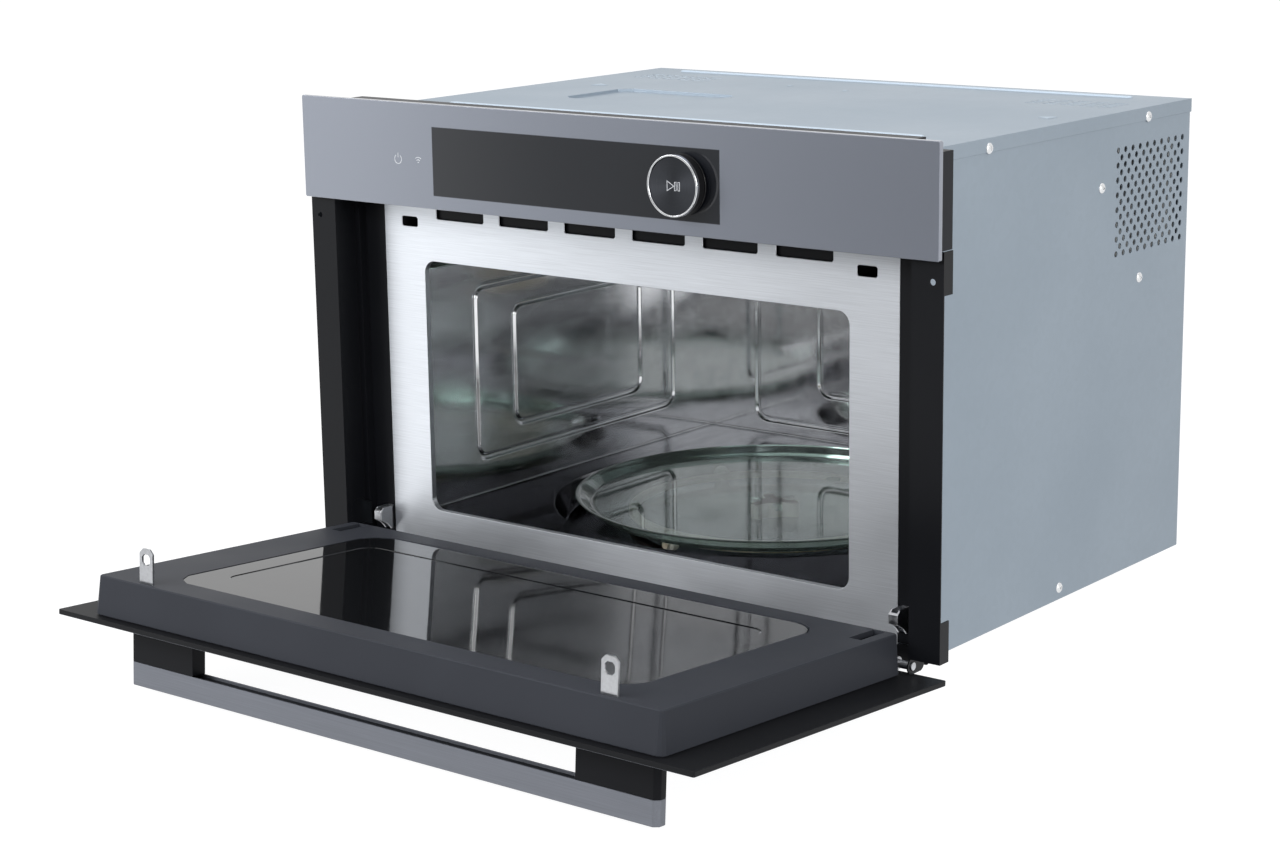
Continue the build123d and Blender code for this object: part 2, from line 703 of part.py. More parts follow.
with BuildPart() as hv_transformer:
    with BuildSketch(Plane.XY.offset(shelf_z)) as foot:
        with Locations((trafo_x, trafo_y)):
            Rectangle(trafo_w + 2 * trafo_foot, trafo_d)
            with GridLocations(trafo_w + trafo_foot, trafo_d - trafo_foot, 2, 2):
                RegularPolygon(trafo_hole_r, screw_sides, mode=Mode.SUBTRACT)
    extrude(amount=trafo_foot_t)
    with BuildSketch(Plane.XY.offset(shelf_z + trafo_foot_t)) as laminations:
        with Locations((trafo_x, trafo_y)):
            Rectangle(trafo_w, trafo_d)
    extrude(amount=trafo_h - trafo_foot_t)
    with BuildSketch(Plane.XY.offset(shelf_z + trafo_foot_t + coil_low)) as windings:
        with Locations((trafo_x, trafo_y)):
            clipped(trafo_w - 2 * coil_end, trafo_d + 2 * coil_reach, coil_reach - 2)
    extrude(amount=trafo_h - trafo_foot_t - 2 * coil_low)

hv_transformer.part.label = "hv_transformer"
export_step(hv_transformer.part, "parts/hv_transformer.step")

# High-voltage capacitor: an oval can with two terminals, held by its strap foot
can_x = trafo_x
can_y = rear_y - 53.0
can_w = 54.0
can_d = 34.0
can_h = 74.0
terminal = (6.3, 0.8)  # width and thickness of a blade terminal
terminal_h = 9.0
terminal_gap = 22.0
strap_w = 14.0
strap_t = 1.2

with BuildPart() as hv_capacitor:
    with BuildSketch(Plane.XY.offset(shelf_z)) as can:
        with Locations((can_x, can_y)):
            softened(can_w, can_d, can_d / 2)
    extrude(amount=can_h)
    with BuildSketch(Plane.XY.offset(shelf_z + can_h)) as terminals:
        with Locations((can_x, can_y)):
            with GridLocations(terminal_gap, 0, 2, 1):
                Rectangle(*terminal)
    extrude(amount=terminal_h)
    with BuildSketch(Plane.XY.offset(shelf_z)) as strap_foot:
        with Locations((can_x, can_y)):
            Rectangle(can_w / 2 + strap_w, strap_w, align=(Align.MIN, Align.CENTER))
    extrude(amount=strap_t)

hv_capacitor.part.label = "hv_capacitor"
export_step(hv_capacitor.part, "parts/hv_capacitor.step")

# High-voltage diode: a small moulded body with its ring terminal on the ceiling
diode_x = trafo_x + 55.0
diode_y = rear_y - 45.0
diode_r = 4.0
diode_l = 20.0
ring_tag_r = 6.0
ring_tag_t = 0.8
ring_tag_l = 14.0
tag_hole_r = 2.2

with BuildPart() as hv_diode:
    with BuildSketch(Plane.XY.offset(shelf_z)) as ring_terminal:
        with Locations((diode_x, diode_y)):
            RegularPolygon(ring_tag_r, small_sides)
            Rectangle(ring_tag_l, diode_r, align=(Align.MIN, Align.CENTER))
            RegularPolygon(tag_hole_r, screw_sides, mode=Mode.SUBTRACT)
    extrude(amount=ring_tag_t)
    with BuildSketch(side_plane(diode_x + ring_tag_l - 2)) as diode_body:
        with Locations((diode_y, shelf_z + diode_r)):
            RegularPolygon(diode_r, small_sides, major_radius=False, rotation=180 / small_sides)
    extrude(amount=diode_l)

hv_diode.part.label = "hv_diode"
export_step(hv_diode.part, "parts/hv_diode.step")

# Fan housing: a square plate with a round duct and three arms to the motor
fan_y = rear_y - 65.0
fan_x = side_x - sheet - 6.0
fan_low = 1.2  # gap between the fan's plate and the ceiling of the cavity
fan_plate = body_h - shelf_z - 10.2
fan_z = shelf_z + fan_low + fan_plate / 2
fan_duct_r = fan_plate / 2 - 7.0
fan_duct_d = 24.0
fan_sides = 20
fan_wall = 1.6
fan_plate_t = 2.0
fan_corner = 6.0
fan_base = fan_plate - 20.0  # depth of the foot
fan_foot_w = 62.0  # reaches back over the ceiling of the cavity
arm_start = 18.4  # inner end of the arms from the fan's axis
arm_w = 9.0
arm_d = 8.0
motor_w = 50.0
motor_l = 78.0
motor_d = 18.0
motor_x = fan_x - fan_duct_d - arm_d
spindle_r = 2.5

with BuildPart() as fan_housing:
    with BuildSketch(side_plane(fan_x - fan_plate_t)) as fan_face:
        with Locations((fan_y, fan_z)):
            clipped(fan_plate, fan_plate, fan_corner)
            RegularPolygon(fan_duct_r, fan_sides, mode=Mode.SUBTRACT)
    extrude(amount=fan_plate_t)
    with BuildSketch(side_plane(fan_x - fan_duct_d)) as fan_tube:
        with Locations((fan_y, fan_z)):
            RegularPolygon(fan_duct_r + fan_wall, fan_sides)
            RegularPolygon(fan_duct_r, fan_sides, mode=Mode.SUBTRACT)
    extrude(amount=fan_duct_d)
    with BuildSketch(side_plane(motor_x)) as fan_arms:
        with Locations((fan_y, fan_z)):
            with PolarLocations((fan_duct_r + fan_wall + arm_start) / 2, 3, start_angle=90):
                Rectangle(fan_duct_r + fan_wall - arm_start, arm_w)
    extrude(amount=arm_d)
    with BuildSketch(Plane.XY.offset(shelf_z)) as fan_foot:
        with Locations((fan_x - fan_plate_t, fan_y)):
            Rectangle(fan_foot_w, fan_base, align=(Align.MAX, Align.CENTER))
    extrude(amount=fan_wall)
    with BuildSketch(side_plane(fan_x - fan_plate_t)) as fan_skirt:
        with Locations((fan_y, shelf_z)):
            Rectangle(fan_base, fan_corner + fan_plate_t, align=(Align.CENTER, Align.MIN))
    extrude(amount=fan_plate_t)

fan_housing.part.label = "fan_housing"
export_step(fan_housing.part, "parts/fan_housing.step")

# Fan motor: shaded-pole stack with its coil and bearing boss, screwed to the arms
coil_w = 20.0
coil_h = 34.0
coil_out = 9.0  # how far the coil and the boss stand out of the stack
boss_r = 9.0

with BuildPart() as fan_motor:
    with BuildSketch(side_plane(motor_x - motor_d)) as stack:
        with Locations((fan_y, fan_z)):
            clipped(motor_l, motor_w, 4)
    extrude(amount=motor_d)
    with BuildSketch(side_plane(motor_x - motor_d - coil_out)) as coil:
        with Locations((fan_y + (motor_l - coil_w) / 2, fan_z)):
            Rectangle(coil_w, coil_h)
        with Locations((fan_y - coil_w / 2, fan_z)):
            RegularPolygon(boss_r, small_sides)
    extrude(amount=coil_out)
    with BuildSketch(side_plane(motor_x - motor_d)) as spindle_bore:
        with Locations((fan_y, fan_z)):
            Circle(spindle_r + run_fit)
    extrude(amount=motor_d, mode=Mode.SUBTRACT)

fan_motor.part.label = "fan_motor"
export_step(fan_motor.part, "parts/fan_motor.step")

# Fan wheel: hub, seven pitched blades and the spindle that runs in the motor
blade_count = 7
blade_r = fan_duct_r - 2.5
blade_pitch = 40.0  # degrees between a blade and the plane of the wheel
blade_root_w = 15.0
blade_tip_w = 23.0
blade_t = 1.4
hub_r = 12.0
hub_l = 16.0
wheel_x = fan_x - fan_duct_d + 3.0


def blade_plane(turn):
    """Plane of one blade: X along the radius, Y across the blade."""
    out = (0, cos(radians(turn)), sin(radians(turn)))
    lean = radians(blade_pitch)
    normal = (cos(lean), sin(lean) * out[2], -sin(lean) * out[1])
    return Plane(origin=(wheel_x + hub_l / 2, fan_y, fan_z), x_dir=out, z_dir=normal)


with BuildPart() as fan_wheel:
    with BuildSketch(side_plane(wheel_x)) as hub:
        with Locations((fan_y, fan_z)):
            RegularPolygon(hub_r, 2 * blade_count)
    extrude(amount=hub_l)
    with BuildSketch(side_plane(motor_x - motor_d + 2)) as spindle:
        with Locations((fan_y, fan_z)):
            Circle(spindle_r)
    extrude(amount=wheel_x - motor_x + motor_d - 2)
    for step in range(blade_count):
        with BuildSketch(blade_plane(360 * step / blade_count)) as blade:
            with BuildLine():
                Polyline(
                    (hub_r / 2, -blade_root_w / 2),
                    (blade_r - 5, -blade_tip_w / 2),
                    (blade_r, 0),
                    (blade_r - 5, blade_tip_w / 2),
                    (hub_r / 2, blade_root_w / 2),
                    close=True,
                )
            make_face()
        extrude(amount=blade_t / 2, both=True)

fan_wheel.part.label = "fan_wheel"
export_step(fan_wheel.part, "parts/fan_wheel.step")

# Air duct: a folded wall that leads the fan's air past the magnetron to the front vents
duct_h = body_h - shelf_z - 16.2
duct_t = 1.0
duct_x = magnetron_x - 14.0
duct_end = fan_x - 34.0  # right end of the wall beside the fan
duct_rear = cavity_rear - 4.0
duct_front = cavity_mid_y - 78.0
duct_flare = (36.0, 60.0)  # how far the wall's front part runs out to the left and forward
duct_foot_w = 12.0

with BuildPart() as air_duct:
    with BuildSketch(Plane.XY.offset(shelf_z)) as duct_plan:
        with BuildLine():
            flare_x = duct_x - duct_flare[0]
            flare_y = duct_front - duct_flare[1]
            Polyline(
                (duct_end, duct_rear),
                (duct_x, duct_rear),
                (duct_x, duct_front),
                (flare_x, flare_y),
                (flare_x + duct_t, flare_y - duct_t),
                (duct_x + duct_t, duct_front - duct_t / 2),
                (duct_x + duct_t, duct_rear - duct_t),
                (duct_end, duct_rear - duct_t),
                close=True,
            )
        make_face()
    extrude(amount=duct_h)
    with BuildSketch(Plane.XY.offset(shelf_z)) as duct_foot:
        with Locations((duct_x, (duct_rear + duct_front) / 2)):
            Rectangle(duct_foot_w, duct_rear - duct_front, align=(Align.MAX, Align.CENTER))
    extrude(amount=duct_t)

air_duct.part.label = "air_duct"
export_step(air_duct.part, "parts/air_duct.step")

# Mains filter board on four standoffs
board_t = 1.6
filter_y = rear_y - 45.0
filter_w = 56.0
filter_d = 70.0
standoff_h = 6.0
standoff_r = 3.0
standoff_in = 6.0  # middle of a standoff inside the board's edge
choke_r = 13.0
choke_hole_r = 5.0
part_h = 14.0
row_y = 16.0  # rows of parts in front of and behind the board's middle
film_part = (18.0, 24.0)
relay_part = (12.0, 26.0)

with BuildPart() as filter_board:
    with BuildSketch(Plane.XY.offset(shelf_z + standoff_h)) as filter_pcb:
        with Locations((filter_x, filter_y)):
            Rectangle(filter_w, filter_d)
    extrude(amount=board_t)
    with BuildSketch(Plane.XY.offset(shelf_z)) as standoffs:
        with Locations((filter_x, filter_y)):
            with GridLocations(filter_w - 2 * standoff_in, filter_d - 2 * standoff_in, 2, 2):
                RegularPolygon(standoff_r, screw_sides)
    extrude(amount=standoff_h)
    with BuildSketch(Plane.XY.offset(shelf_z + standoff_h + board_t)) as filter_parts:
        with Locations((filter_x, filter_y + row_y)):
            RegularPolygon(choke_r, turned_sides)
            RegularPolygon(choke_hole_r, small_sides, mode=Mode.SUBTRACT)
        with Locations((filter_x - filter_w / 4, filter_y - row_y)):
            Rectangle(*film_part)
        with Locations((filter_x + filter_w / 4, filter_y - row_y)):
            Rectangle(*relay_part)
    extrude(amount=part_h)

filter_board.part.label = "filter_board"
export_step(filter_board.part, "parts/filter_board.step")

# Cavity lamp: a hood over the holes in the ceiling and the bulb inside it
hood_w = 46.0
hood_d = 36.0
hood_h = 40.0
hood_t = 1.5
hood_corner = 4.0
ear_w = 10.0
ear_d = 12.0
ear_hole_r = 1.8
bulb_r = 11.0
bulb_neck_r = 7.5
bulb_foot = 7.0  # lower end of the bulb above the ceiling
bulb_wide = 17.0  # height of its widest place
bulb_neck = 26.0  # height where its neck starts

with BuildPart() as lamp_housing:
    with BuildSketch(Plane.XY.offset(shelf_z)) as hood:
        with Locations((lamp_x, lamp_y)):
            clipped(hood_w, hood_d, hood_corner)
    extrude(amount=hood_h)
    with BuildSketch(Plane.XY.offset(shelf_z)) as hood_inside:
        with Locations((lamp_x, lamp_y)):
            clipped(hood_w - 2 * hood_t, hood_d - 2 * hood_t, hood_corner - hood_t / 2)
    extrude(amount=hood_h - hood_t, mode=Mode.SUBTRACT)
    with BuildSketch(Plane.XY.offset(shelf_z)) as hood_ears:
        with Locations((lamp_x, lamp_y)):
            with GridLocations(hood_w + ear_w - hood_t, 0, 2, 1):
                Rectangle(ear_w, ear_d)
                RegularPolygon(ear_hole_r, screw_sides, mode=Mode.SUBTRACT)
    extrude(amount=hood_t)

lamp_housing.part.label = "lamp_housing"
export_step(lamp_housing.part, "parts/lamp_housing.step")

with BuildPart() as lamp:
    levels = (
        (bulb_foot, bulb_r / 2),
        (bulb_wide, bulb_r),
        (bulb_neck, bulb_neck_r),
        (hood_h - hood_t, bulb_neck_r),
    )
    for (low, low_r), (high, high_r) in zip(levels, levels[1:]):
        with BuildSketch(Plane.XY.offset(shelf_z + low)) as lower_ring:
            with Locations((lamp_x, lamp_y)):
                RegularPolygon(low_r, small_sides)
        with BuildSketch(Plane.XY.offset(shelf_z + high)) as upper_ring:
            with Locations((lamp_x, lamp_y)):
                RegularPolygon(high_r, small_sides)
        loft(ruled=True)

lamp.part.label = "lamp"
export_step(lamp.part, "parts/lamp.step")

# Thermal cut-outs clipped on the ceiling
cutout_places = ((duct_x - 56.5, lamp_y), (20.0, fan_y - 10.0))
cutout_r = 8.0
cutout_h = 9.0
cutout_foot = (30.0, 9.0)
cutout_foot_t = 1.0
cutout_gap = 9.0  # between the two terminals

with BuildPart() as thermostats:
    for place in cutout_places:
        with BuildSketch(Plane.XY.offset(shelf_z)) as ears:
            with Locations(place):
                clipped(*cutout_foot, 2)
        extrude(amount=cutout_foot_t)
        with BuildSketch(Plane.XY.offset(shelf_z + cutout_foot_t)) as disc:
            with Locations(place):
                RegularPolygon(cutout_r, small_sides)
        extrude(amount=cutout_h)
        with BuildSketch(Plane.XY.offset(shelf_z + cutout_foot_t + cutout_h)) as tabs:
            with Locations(place):
                with GridLocations(cutout_gap, 0, 2, 1):
                    Rectangle(*terminal, rotation=90)
        extrude(amount=terminal_h)

thermostats.part.label = "thermostats"
export_step(thermostats.part, "parts/thermostats.step")

# Turntable motor under the floor, with the bore that the coupler's stem turns in
motor_r = 24.5
motor_h = 15.0
can_sides = 16
flange_t = 1.0
flange_l = 70.0
flange_w = 12.0
hump = (22.0, 16.0)  # width and length of the gear hump
hump_low = 4.0  # how far the hump stays below the can's top
stem_r = 3.5
stem_floor = 3.0  # bottom of the bore above the bottom of the can

with BuildPart() as turntable_motor:
    with BuildSketch(Plane.XY.offset(recess_z - liner_t - motor_h)) as motor_can:
        with Locations((0, cavity_mid_y)):
            RegularPolygon(motor_r, can_sides)
    extrude(amount=motor_h)
    with BuildSketch(Plane.XY.offset(recess_z - liner_t - flange_t)) as motor_ears:
        with Locations((0, cavity_mid_y)):
            clipped(flange_l, flange_w, flange_w / 4)
            with GridLocations(flange_l - flange_w, 0, 2, 1):
                RegularPolygon(ear_hole_r, screw_sides, mode=Mode.SUBTRACT)
    extrude(amount=flange_t)
    with BuildSketch(Plane.XY.offset(recess_z - liner_t - motor_h)) as gear_hump:
        with Locations((0, cavity_mid_y + motor_r)):
            Rectangle(*hump)
    extrude(amount=motor_h - hump_low)
    with BuildSketch(Plane.XY.offset(recess_z - liner_t - motor_h + stem_floor)) as motor_bore:
        with Locations((0, cavity_mid_y)):
            Circle(stem_r + run_fit)
    extrude(amount=motor_h, mode=Mode.SUBTRACT)

turntable_motor.part.label = "turntable_motor"
export_step(turntable_motor.part, "parts/turntable_motor.step")

# Cord gland in the rear panel
gland_fit = 0.2  # between the gland's neck and the panel's hole
gland_wide = 2.5  # how far the collar laps the hole
gland_reach = 9.0
gland_taper = 14.0
gland_nut_h = 3.0
cord_r = 4.0

with BuildPart() as cord_gland:
    with BuildSketch(inward_plane(rear_y - 2 * sheet - gland_nut_h)) as gland_nut:
        with Locations((-gland_x, gland_z)):
            RegularPolygon(gland_hole_r + 2 * gland_wide, 6)
    extrude(amount=gland_nut_h)
    with BuildSketch(inward_plane(rear_y - 2 * sheet)) as gland_neck:
        with Locations((-gland_x, gland_z)):
            RegularPolygon(gland_hole_r - gland_fit, gland_sides)
    extrude(amount=sheet)
    with BuildSketch(inward_plane(rear_y - sheet)) as gland_collar:
        with Locations((-gland_x, gland_z)):
            RegularPolygon(gland_hole_r + gland_wide, gland_sides)
    extrude(amount=gland_reach, taper=gland_taper)
    with BuildSketch(inward_plane(rear_y - 2 * sheet - gland_nut_h)) as gland_bore:
        with Locations((-gland_x, gland_z)):
            RegularPolygon(cord_r, gland_sides)
    extrude(amount=gland_nut_h + sheet + gland_reach, mode=Mode.SUBTRACT)

cord_gland.part.label = "cord_gland"
export_step(cord_gland.part, "parts/cord_gland.step")

# Casing screws: heads on the folded edges and the side panels
head_sides = 8

with BuildPart() as casing_screws:
    for depth, height in flange_screws + side_screws:
        seat = body_w / 2 if (depth, height) in flange_screws else side_x
        with BuildSketch(side_plane(seat)) as screw_head:
            with Locations((depth, height)):
                RegularPolygon(screw_head_r, head_sides)
        extrude(amount=screw_head_h, taper=35)
        with BuildSketch(side_plane(seat)) as shank:
            with Locations((depth, height)):
                RegularPolygon(screw_r - run_fit, screw_sides)
        extrude(amount=-screw_l)
    mirror(about=Plane.YZ)

casing_screws.part.label = "casing_screws"
export_step(casing_screws.part, "parts/casing_screws.step")

# Side trims: folded strips with the cabinet screw holes and the ears for the hinge pins
trim_h = door_foot + door_h + 9.5 - trim_foot
jog_y = face_y - trim_step_d
cut_front = trim_y + 5.5
cut_rear = jog_y + 2
cut_low = 23.0
cut_high = 45.0


def side_trim():
    """Right side trim."""
    with BuildPart() as strip:
        with BuildSketch(Plane.XY.offset(trim_foot)) as trim_profile:
            with BuildLine():
                Polyline(
                    (front_w / 2, trim_y),
                    (web_x, trim_y),
                    (web_x, jog_y),
                    (web_x - trim_step, jog_y),
                    (web_x - trim_step, face_y),
                    (face_w / 2, face_y),
                    (face_w / 2, liner_y),
                    (web_x - trim_step + plate_t, liner_y),
                    (web_x - trim_step + plate_t, jog_y + plate_t),
                    (web_x + plate_t, jog_y + plate_t),
                    (web_x + plate_t, trim_y + plate_t),
                    (front_w / 2, trim_y + plate_t),
                    close=True,
                )
            make_face()
        extrude(amount=trim_h)
        with BuildSketch(side_plane(front_w / 2 - plate_t)) as tabs_outline:
            with Locations((trim_y, trim_foot), (trim_y, trim_foot + trim_h - tab_h)):
                Rectangle(seat_y - trim_y, tab_h, align=(Align.MIN, Align.MIN))
        extrude(amount=plate_t)
        with BuildSketch(side_plane(web_x)) as ear:
            with Locations((hinge_y + ear_back / 2, hinge_z)):
                softened(ear_back + 2 * ear_r, 2 * ear_r, ear_r)
                Rectangle(ear_back + ear_r, 2 * (trim_foot - hinge_z), align=(Align.CENTER, Align.MIN))
            with Locations((hinge_y, hinge_z)):
                Circle(pin_r + run_fit, mode=Mode.SUBTRACT)
        extrude(amount=plate_t)
        with BuildSketch(side_plane(web_x - trim_step)) as link_cut:
            with BuildLine():
                cut_corner = (cut_rear - cut_front) / 4
                Polyline(
                    (cut_front, cut_low),
                    (cut_rear, cut_low),
                    (cut_rear, cut_high - cut_corner),
                    (cut_rear - cut_corner, cut_high),
                    (cut_front + cut_corner, cut_high),
                    (cut_front, cut_high - cut_corner),
                    close=True,
                )
            make_face()
        extrude(amount=trim_step + plate_t, mode=Mode.SUBTRACT)
        with BuildSketch(front_plane(trim_y + plate_t)) as cabinet_hole:
            with Locations((screw_hole_x, screw_hole_z)):
                Circle(screw_hole_r)
        extrude(amount=plate_t, mode=Mode.SUBTRACT)
        with BuildSketch(front_plane(liner_y)) as staple_notch:
            with Locations((hook_x, hook_top + free_gap)):
                Rectangle(hook_w + 2 * free_gap, hook_cut_h, align=(Align.CENTER, Align.MAX))
        extrude(amount=plate_t, mode=Mode.SUBTRACT)
    return strip.part


with BuildPart() as trim_right:
    add(side_trim())

trim_right.part.label = "trim_right"
export_step(trim_right.part, "parts/trim_right.step")

with BuildPart() as trim_left:
    add(mirror(side_trim(), about=Plane.YZ))

trim_left.part.label = "trim_left"
export_step(trim_left.part, "parts/trim_left.step")

# Hinge brackets: a plate behind each folded front edge and the staple that stands out of it
bracket_y = liner_y + sheet
bracket_w = 22.0
bracket_h = 42.0
staple_y = face_y - hook_front
staple_cut = 3.0  # cut at the staple's upper front corner
link_t = 2.0
link_size = 9.0
link_up = 5.0  # lower side of the link above the staple's lower edge

with BuildPart() as hinge_brackets:
    with BuildSketch(inward_plane(bracket_y)) as bracket_plate:
        with Locations((-hook_x, pan_flange + 0.4)):
            Rectangle(bracket_w, bracket_h, align=(Align.CENTER, Align.MIN))
    extrude(amount=hook_t)
    with BuildSketch(side_plane(hook_x - hook_w / 2)) as staple:
        with Locations((staple_y, hook_low)):
            Rectangle(bracket_y - staple_y, hook_top - hook_low, align=(Align.MIN, Align.MIN))
        with Locations((hinge_y, hinge_z)):
            Circle(hook_clear_r, mode=Mode.SUBTRACT)
    extrude(amount=hook_w)
    chamfer(edges().filter_by(Axis.X).sort_by(Axis.Z)[-4:].sort_by(Axis.Y)[0], staple_cut)
    with BuildSketch(Plane.XY.offset(hook_low)) as staple_inside:
        with Locations((hook_x, staple_y + hook_t)):
            Rectangle(hook_w - 2 * hook_t, bracket_y - staple_y - hook_t,
                      align=(Align.CENTER, Align.MIN))
    extrude(amount=hook_top - hook_low, mode=Mode.SUBTRACT)
    with BuildSketch(side_plane(hook_x - link_t / 2)) as link:
        with Locations((bracket_y, hook_low + link_up)):
            Rectangle(link_size, link_size, align=(Align.MAX, Align.MIN))
    extrude(amount=link_t)
    mirror(about=Plane.YZ)

hinge_brackets.part.label = "hinge_brackets"
export_step(hinge_brackets.part, "parts/hinge_brackets.step")

# Door glass
with BuildPart() as door_glass:
    with BuildSketch(front_plane(front_y + glass_t)) as door_outline:
        with Locations((0, door_foot + door_h / 2)):
            clipped(front_w, door_h, glass_corner)
    extrude(amount=glass_t)
    chamfer(edges().group_by(Axis.Y)[0], glass_edge)

save_open(door_glass.part, "door_glass")

# Door frame: a tapered box behind the glass with the window, the inner glass and the slots
box_h = door_h - box_foot - box_head
box_mid_z = door_foot + box_foot + box_h / 2
box_step_in = 1.5
box_r = 6.0
window_z = door_foot + window_up
face_in_y = front_y + box_depth - box_face
latch_z = door_foot + latch_up
hinge_slot_w = 10.0
hinge_slot_low = door_foot + 15.0
hinge_slot_h = 31.0
lug_r = 5.0

with BuildPart() as door_frame:
    with BuildSketch(inward_plane(front_y + box_gap)) as box_outline:
        with Locations((0, box_mid_z)):
            softened(box_w, box_h, box_r)
    extrude(amount=box_depth - box_gap, taper=box_draft)
    chamfer(edges().group_by(Axis.Y)[-1], 0.8)
    with BuildSketch(inward_plane(front_y + glass_t)) as box_step:
        with Locations((0, box_mid_z)):
            softened(box_w - 2 * box_step_in, box_h - 2 * box_step_in, box_r - box_step_in)
    extrude(amount=box_gap - glass_t)
    with BuildSketch(inward_plane(front_y + glass_t)) as box_inside:
        with Locations((0, box_mid_z)):
            softened(box_w - 2 * box_wall, box_h - 2 * box_wall, box_r - box_wall)
    extrude(amount=box_depth - box_face - glass_t, taper=box_draft, mode=Mode.SUBTRACT)
    with BuildSketch(front_plane(front_y + box_depth)) as glass_recess:
        with Locations((0, window_z)):
            softened(inner_w + 2 * free_gap, inner_h + 2 * free_gap, inner_r + free_gap)
    extrude(amount=inner_t + inner_sunk, mode=Mode.SUBTRACT)
    with BuildSketch(front_plane(front_y + box_depth)) as face_cuts:
        with Locations((0, window_z)):
            clipped(window_w, window_h, box_r)
        for side in (-1, 1):
            with Locations((side * hook_x, hinge_slot_low)):
                Rectangle(hinge_slot_w, hinge_slot_h, align=(Align.CENTER, Align.MIN))
            with Locations((side * latch_x, latch_z)):
                Rectangle(latch_w + free_gap, latch_t + free_gap)
    extrude(amount=box_face, mode=Mode.SUBTRACT)
    with BuildSketch(Plane.XY.offset(door_foot + box_foot)) as lug_slots:
        for side in (-1, 1):
            with Locations((side * (arm_x - arm_t / 2), hinge_y)):
                Rectangle(arm_t + 2 * free_gap, 2 * lug_r + 2 * free_gap)
    extrude(amount=2 * box_wall, mode=Mode.SUBTRACT)

save_open(door_frame.part, "door_frame")

# Inner glass in its recess
with BuildPart() as door_inner_glass:
    with BuildSketch(front_plane(front_y + box_depth - inner_sunk)) as inner_outline:
        with Locations((0, window_z)):
            softened(inner_w, inner_h, inner_r)
    extrude(amount=inner_t)

save_open(door_inner_glass.part, "door_inner_glass")

# Door screen: the perforated steel sheet with its folded rim
rim_d = 7.0

with BuildPart() as door_screen:
    with BuildSketch(front_plane(face_in_y)) as screen_outline:
        with Locations((0, window_z)):
            clipped(screen_w, screen_h, box_r)
    extrude(amount=rim_d)
    with BuildSketch(front_plane(face_in_y - screen_t)) as screen_inside:
        with Locations((0, window_z)):
            clipped(screen_w - 2 * screen_t, screen_h - 2 * screen_t, box_r - screen_t / 2)
    extrude(amount=rim_d - screen_t, mode=Mode.SUBTRACT)

save_open(door_screen.part, "door_screen")

# Hinge arms: plates inside the door box whose lugs carry the hinge pins
arm_h = 84.0
pin_end = web_x + 2 * plate_t

with BuildPart() as hinge_arms:
    with BuildSketch(side_plane(arm_x - arm_t)) as arm:
        with BuildLine():
            Polyline(
                (hinge_y - lug_r, hinge_z),
                (hinge_y - lug_r, hinge_z + 26),
                (face_in_y - 12, hinge_z + arm_h),
                (face_in_y, hinge_z + arm_h),
                (face_in_y, hinge_z + 12),
                (hinge_y + lug_r, hinge_z + 12),
                (hinge_y + lug_r, hinge_z),
                close=True,
            )
        make_face()
        with Locations((hinge_y, hinge_z)):
            softened(2 * lug_r, 2 * lug_r, lug_r)
    extrude(amount=arm_t)
    with BuildSketch(side_plane(arm_x - arm_t)) as pin:
        with Locations((hinge_y, hinge_z)):
            Circle(pin_r)
    extrude(amount=pin_end - arm_x + arm_t)
    mirror(about=Plane.YZ)

save_open(hinge_arms.part, "hinge_arms")

# Latch hooks: pierced tongues on their root plates
latch_root = 22.0
latch_eye = 8.4  # width of the hole in a tongue

with BuildPart() as latch_hooks:
    with BuildSketch(front_plane(face_in_y)) as latch_root_plate:
        with Locations((latch_x, latch_z + latch_t / 2)):
            Rectangle(latch_root, latch_root / 2, align=(Align.CENTER, Align.MAX))
    extrude(amount=latch_t)
    with BuildSketch(Plane.XY.offset(latch_z - latch_t / 2)) as tongue:
        tip_y = front_y + box_depth + latch_reach
        with Locations((latch_x, tip_y)):
            Rectangle(latch_w, tip_y - face_in_y, align=(Align.CENTER, Align.MAX))
        chamfer(tongue.vertices().group_by(Axis.Y)[-1], latch_w / 4)
        with Locations((latch_x, tip_y - latch_eye)):
            clipped(latch_eye, latch_eye, latch_eye / 4, mode=Mode.SUBTRACT)
    extrude(amount=latch_t)
    mirror(about=Plane.YZ)

save_open(latch_hooks.part, "latch_hooks")

# Handle: black posts and core, and the metal channel over its front
bar_top = door_foot + door_h - handle_drop
bar_foot = bar_top - handle_t
bar_mid = bar_top - handle_t / 2
bar_front = front_y - handle_reach
channel_y = bar_front + channel_h
core_front = bar_front + channel_t
core_seat = 2.0
corner_cut = 3.5  # cut at the handle's two corners
channel_edge = 0.5
neck_in = 4.0  # how much the necks stay inside the posts' ends

with BuildPart() as handle_core:
    with BuildSketch(front_plane(front_y)) as posts:
        with Locations((0, bar_mid)):
            Rectangle(handle_w, handle_t)
        chamfer(posts.vertices().group_by(Axis.Z)[0], corner_cut)
    extrude(amount=front_y - channel_y)
    with BuildSketch(front_plane(front_y)) as finger_gap:
        with Locations((0, bar_mid)):
            Rectangle(handle_w - 2 * post_w, 2 * handle_t)
    extrude(amount=front_y - channel_y, mode=Mode.SUBTRACT)
    with BuildSketch(front_plane(channel_y)) as post_necks:
        for side in (-1, 1):
            with Locations((side * (handle_w - post_w) / 2, bar_mid)):
                Rectangle(post_w - 2 * channel_t - 2 * neck_in, handle_t - 2 * channel_t)
    extrude(amount=core_seat)
    with BuildSketch(front_plane(channel_y - core_seat)) as insert:
        with Locations((0, bar_mid)):
            Rectangle(handle_w - 2 * channel_t, handle_t - 2 * channel_t)
        chamfer(insert.vertices().group_by(Axis.Z)[0], corner_cut - channel_t / 2)
    extrude(amount=channel_y - core_seat - core_front)

save_open(handle_core.part, "handle_core")

